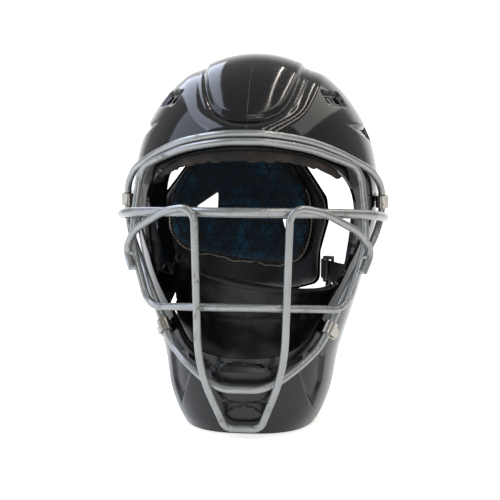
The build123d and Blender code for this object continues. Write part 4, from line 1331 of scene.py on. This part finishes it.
def to_cup_rim(points):
    """How far points lie under the cup's slanting top edge and before its rear edge."""
    back = points[:, 1] - cup_centre[1]
    share = np.clip((back + cup_radii[1]) / (cup_radii[1] + cup_back), 0, 1)
    top = cup_centre[2] + cup_edge_level + cup_edge_rise * share - cup_edge_tilt * points[:, 0]
    return np.minimum(top - points[:, 2], cup_back - back)


def cup_creases(turn, points, edge):
    """Depths of the sewn seam, its gathers, the slack vinyl and its fold, less the hem's height."""
    x, _, z = points.T
    to_seam = z - cup_seam_level + cup_seam_drop * np.cos(turn * 1.2)
    gather = np.sin(turn * gather_waves + np.sin(turn * 9) * 2)
    slack = np.sin(x / 9 + z / 5) + np.sin(x / 5 - z / 8)
    crumple = np.clip(turn / fold_turn, 0, 1) * (1 + 0.5 * np.sin(turn * 31))
    to_fold = edge - fold_inset - 2 * np.sin(turn * 7)
    return (
        cup_seam_depth * mound(to_seam, cup_seam_width)
        + gather_depth * gather * np.exp(-np.abs(to_seam) / gather_reach)
        + slack_depth * slack * rising(edge, slack_reach)
        + fold_depth * crumple * mound(to_fold, fold_width)
        - hem_height * mound(edge - hem_inset, hem_width)
    )


def cup_layer(name, inset, thickness, creased):
    """One layer of the cup: trimmed along its top edge and behind, round at its rims."""
    rows, columns = ((90, 200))
    fall, turn, faces, edge = trimmed_sheet(
        np.linspace(-0.32, 1.45, rows), np.linspace(-2.05, 2.05, columns),
        lambda fall, turn: to_cup_rim(cup_points(turn, fall, inset)),
    )
    relief = cup_creases(turn, cup_points(turn, fall, inset), edge) if creased else 0
    half = thickness / 2 * rounded_rise(edge, thickness)
    outer = unit(cup_points(turn, fall, 0) - cup_points(turn, fall, 1))
    base = cup_points(turn, fall, inset + thickness / 2)
    front = base + outer * (half - relief * rounded_rise(edge, thickness))[:, None]
    return closed_piece(name, front, base - outer * half[:, None], faces, black_vinyl)


cup_cover = cup_layer("chin_cup_cover", 0, cup_wall, True)
settle(cup_cover, "chin_piece", "cup_vinyl", "chin_cup")
cup_pad = cup_layer("chin_cup_cushion", cup_wall + seat_gap, cup_pad_thickness, False)
settle(cup_pad, "chin_piece", "cup_vinyl", "chin_cup_pad", fill=0.7)

chin_strap_width, chin_strap_thickness, chin_strap_level, chin_strap_back = 20, 1.6, -70, -4
chin_strap_shares = (0.20, 0.13, 0.07)
cup_side = cup_radii[0] + seat_gap + chin_strap_thickness / 2
for name, side in (("left", 1), ("right", -1)):
    side_band(
        f"chin_strap_{name}_band", "chin_strap_" + name, side, "chin_piece", chin_strap_shares, 0,
        (cup_side, chin_strap_back, chin_strap_level), chin_strap_width, chin_strap_thickness,
        black_vinyl, ribs=False,
    )
print("the cup is", 2 * cup_radii[0], "mm wide")

# %% [markdown]
# Where two wires cross they are welded, and each weld leaves a small collar of metal that the
# paint rounds over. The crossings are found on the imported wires: points of one wire's surface
# that lie against another are gathered into groups, and each group gets a bead. Along the brow the
# two wires lie side by side, and there the weld is a hidden run behind them.

# %% Weld beads
weld_reach, weld_search, weld_spacing, brow_level = 0.5, 4, 14, 30
longest_edge, edge_cuts = 3, 18
bead_radii, bead_lump = (3.3, 3.3, 2.6), 0.05


def close_points(first, second):
    """Points of one wire's surface, in millimetres, that lie against another wire."""
    surface, other = bmesh.new(), bmesh.new()
    surface.from_mesh(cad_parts[first].data)
    other.from_mesh(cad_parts[second].data)
    long_edges = [edge for edge in surface.edges if edge.calc_length() > longest_edge * mm]
    bmesh.ops.subdivide_edges(surface, edges=long_edges, cuts=edge_cuts)
    tree_of = BVHTree.FromBMesh(other)
    found = []
    for vert in surface.verts:
        nearest, _, _, distance = tree_of.find_nearest(vert.co, weld_search * mm)
        if nearest is not None and distance < weld_reach * mm and vert.co.z < brow_level * mm:
            found.append(np.array(vert.co.lerp(nearest, 0.5)) / mm)
    surface.free()
    other.free()
    return found


groups = []
for index, first in enumerate(wires):
    for second in wires[index + 1:]:
        for point in close_points(first, second):
            for group in groups:
                if np.linalg.norm(np.mean(group, axis=0) - point) < weld_spacing:
                    group.append(point)
                    break
            else:
                groups.append([point])
bead_points, bead_faces = [], []
rng = np.random.default_rng(7)
for group in groups:
    ball = bmesh.new()
    bmesh.ops.create_icosphere(ball, subdivisions=3, radius=1.0)
    first, middle, lumps = len(bead_points), np.mean(group, axis=0), rng.normal(0, 1, (3, 3))
    for vert in ball.verts:
        direction = np.array(vert.co)
        lump = 1 + bead_lump * np.sin(lumps @ direction * 3).sum()
        bead_points.append(middle + direction * bead_radii * lump)
    bead_faces += [[first + vert.index for vert in face.verts] for face in ball.faces]
    ball.free()
settle(new_piece("weld_beads", bead_points, bead_faces, cage_paint), "helmet", "cage_steel")
print("weld beads:", len(groups))

# %% [markdown]
# The floor is a wide pale sheet, and a tall backdrop of the same paper stands far behind it. Their
# white comes from the rays that the camera, a gloss or a clear surface sends, and the floor keeps
# its shadow. The backdrop fades out above and beside the picture, so no hard edge shows in a gloss.
# The room itself is a plain mid grey, so that the black plastic stays black where it faces the
# camera.

# %% Floor and backdrop
paper_white, floor_half_width, floor_level, paper_lift = "#f4f4f2", 60000, -184.5, 0.62
backdrop_back, backdrop_half_width, backdrop_height = 3600, 4000, 5000
fade_height, fade_across = (1100, 4200), (1700, 3900)
room_grey = 0.42


def paper(name, lift, fades=False):
    """White studio paper, lifted towards pure white for what looks at it directly."""
    material, place = new_material(name)
    ray = add_node("LightPath", {}, material.node_tree).outputs
    seen = sum_of("MAXIMUM", ray["Is Camera Ray"], ray["Is Glossy Ray"])
    strength = sum_of("MAXIMUM", seen, ray["Is Transmission Ray"])
    strength = sum_of("MULTIPLY", strength, lift)
    if fades:
        across, _, height = add_node("SeparateXYZ", {"Vector": place}).outputs
        across = sum_of("ABSOLUTE", across)
        for value, (near, far) in ((height, fade_height), (across, fade_across)):
            strength = sum_of("MULTIPLY", strength, ramp(value, far * mm, near * mm))
    white = (1, 1, 1, 1)
    finish_with(
        Base_Color=paper_white, Roughness=0.9, Emission_Color=white, Emission_Strength=strength
    )
    return material


floor = new_piece("floor", [
    (x * floor_half_width, y * floor_half_width, floor_level) for x, y in box_corners
], [(0, 1, 2, 3)], paper("floor_paper", paper_lift))
backdrop = new_piece("backdrop", [
    (x * backdrop_half_width, backdrop_back, floor_level + (y + 1) / 2 * backdrop_height)
    for x, y in box_corners
], [(0, 1, 2, 3)], paper("backdrop_paper", 1.0, fades=True))

studio = bpy.data.worlds.new("studio")
scene.world = studio
studio.use_nodes = True
studio.node_tree.nodes["Background"].inputs["Color"].default_value = (1, 1, 1, 1)
studio.node_tree.nodes["Background"].inputs["Strength"].default_value = room_grey
print("the backdrop stands", backdrop_back, "mm behind the head")

# %% [markdown]
# A tall cool window lies to the left. A skylight, a ceiling panel and three slim tubes run away
# overhead, and a soft panel fills in from the front. Their reflections draw the dome, the wings
# and the wires, and their light stays low, so that the colours stay true.

# %% Lamps


def lamp(name, place, aim, size, radiance, colour="#ffffff", along=(0, 0, 1)):
    """A rectangular lamp that looks at a place, with its long side along a direction."""
    data = bpy.data.lights.new(name, "AREA")
    data.shape = "RECTANGLE"
    data.size, data.size_y = size[0] * mm, size[1] * mm
    data.energy, data.color = radiance * pi * data.size * data.size_y, linear(colour)[:3]
    back = (Vector(place) - Vector(aim)).normalized()
    across = Vector(along).cross(back).normalized()
    stand(name, data, place, across, back.cross(across), back)


rearward = (0, 1, 0)
tube_size, tube_light, tube_colour = (24, 2500), 14.0, "#fff6ea"
lamp("window", (-1500, -350, 650), (0, 0, 40), (1100, 1500), 1.7, "#dce8ff")
lamp("skylight", (-900, 350, 1350), (0, 0, 60), (620, 2600), 3.4, "#dde8ff", rearward)
lamp("ceiling_right", (1150, 250, 1350), (0, 0, 60), (520, 2200), 1.5, "#fffaf2", rearward)
for count, across in enumerate((300, 520, 740)):
    place = (across, -150, 1500)
    lamp(f"tube_{count}", place, (0, -100, 60), tube_size, tube_light, tube_colour, rearward)
lamp("front_fill", (300, -1800, 500), (0, 0, 0), (900, 500), 2.2)
print("lamps:", len(bpy.data.lights))
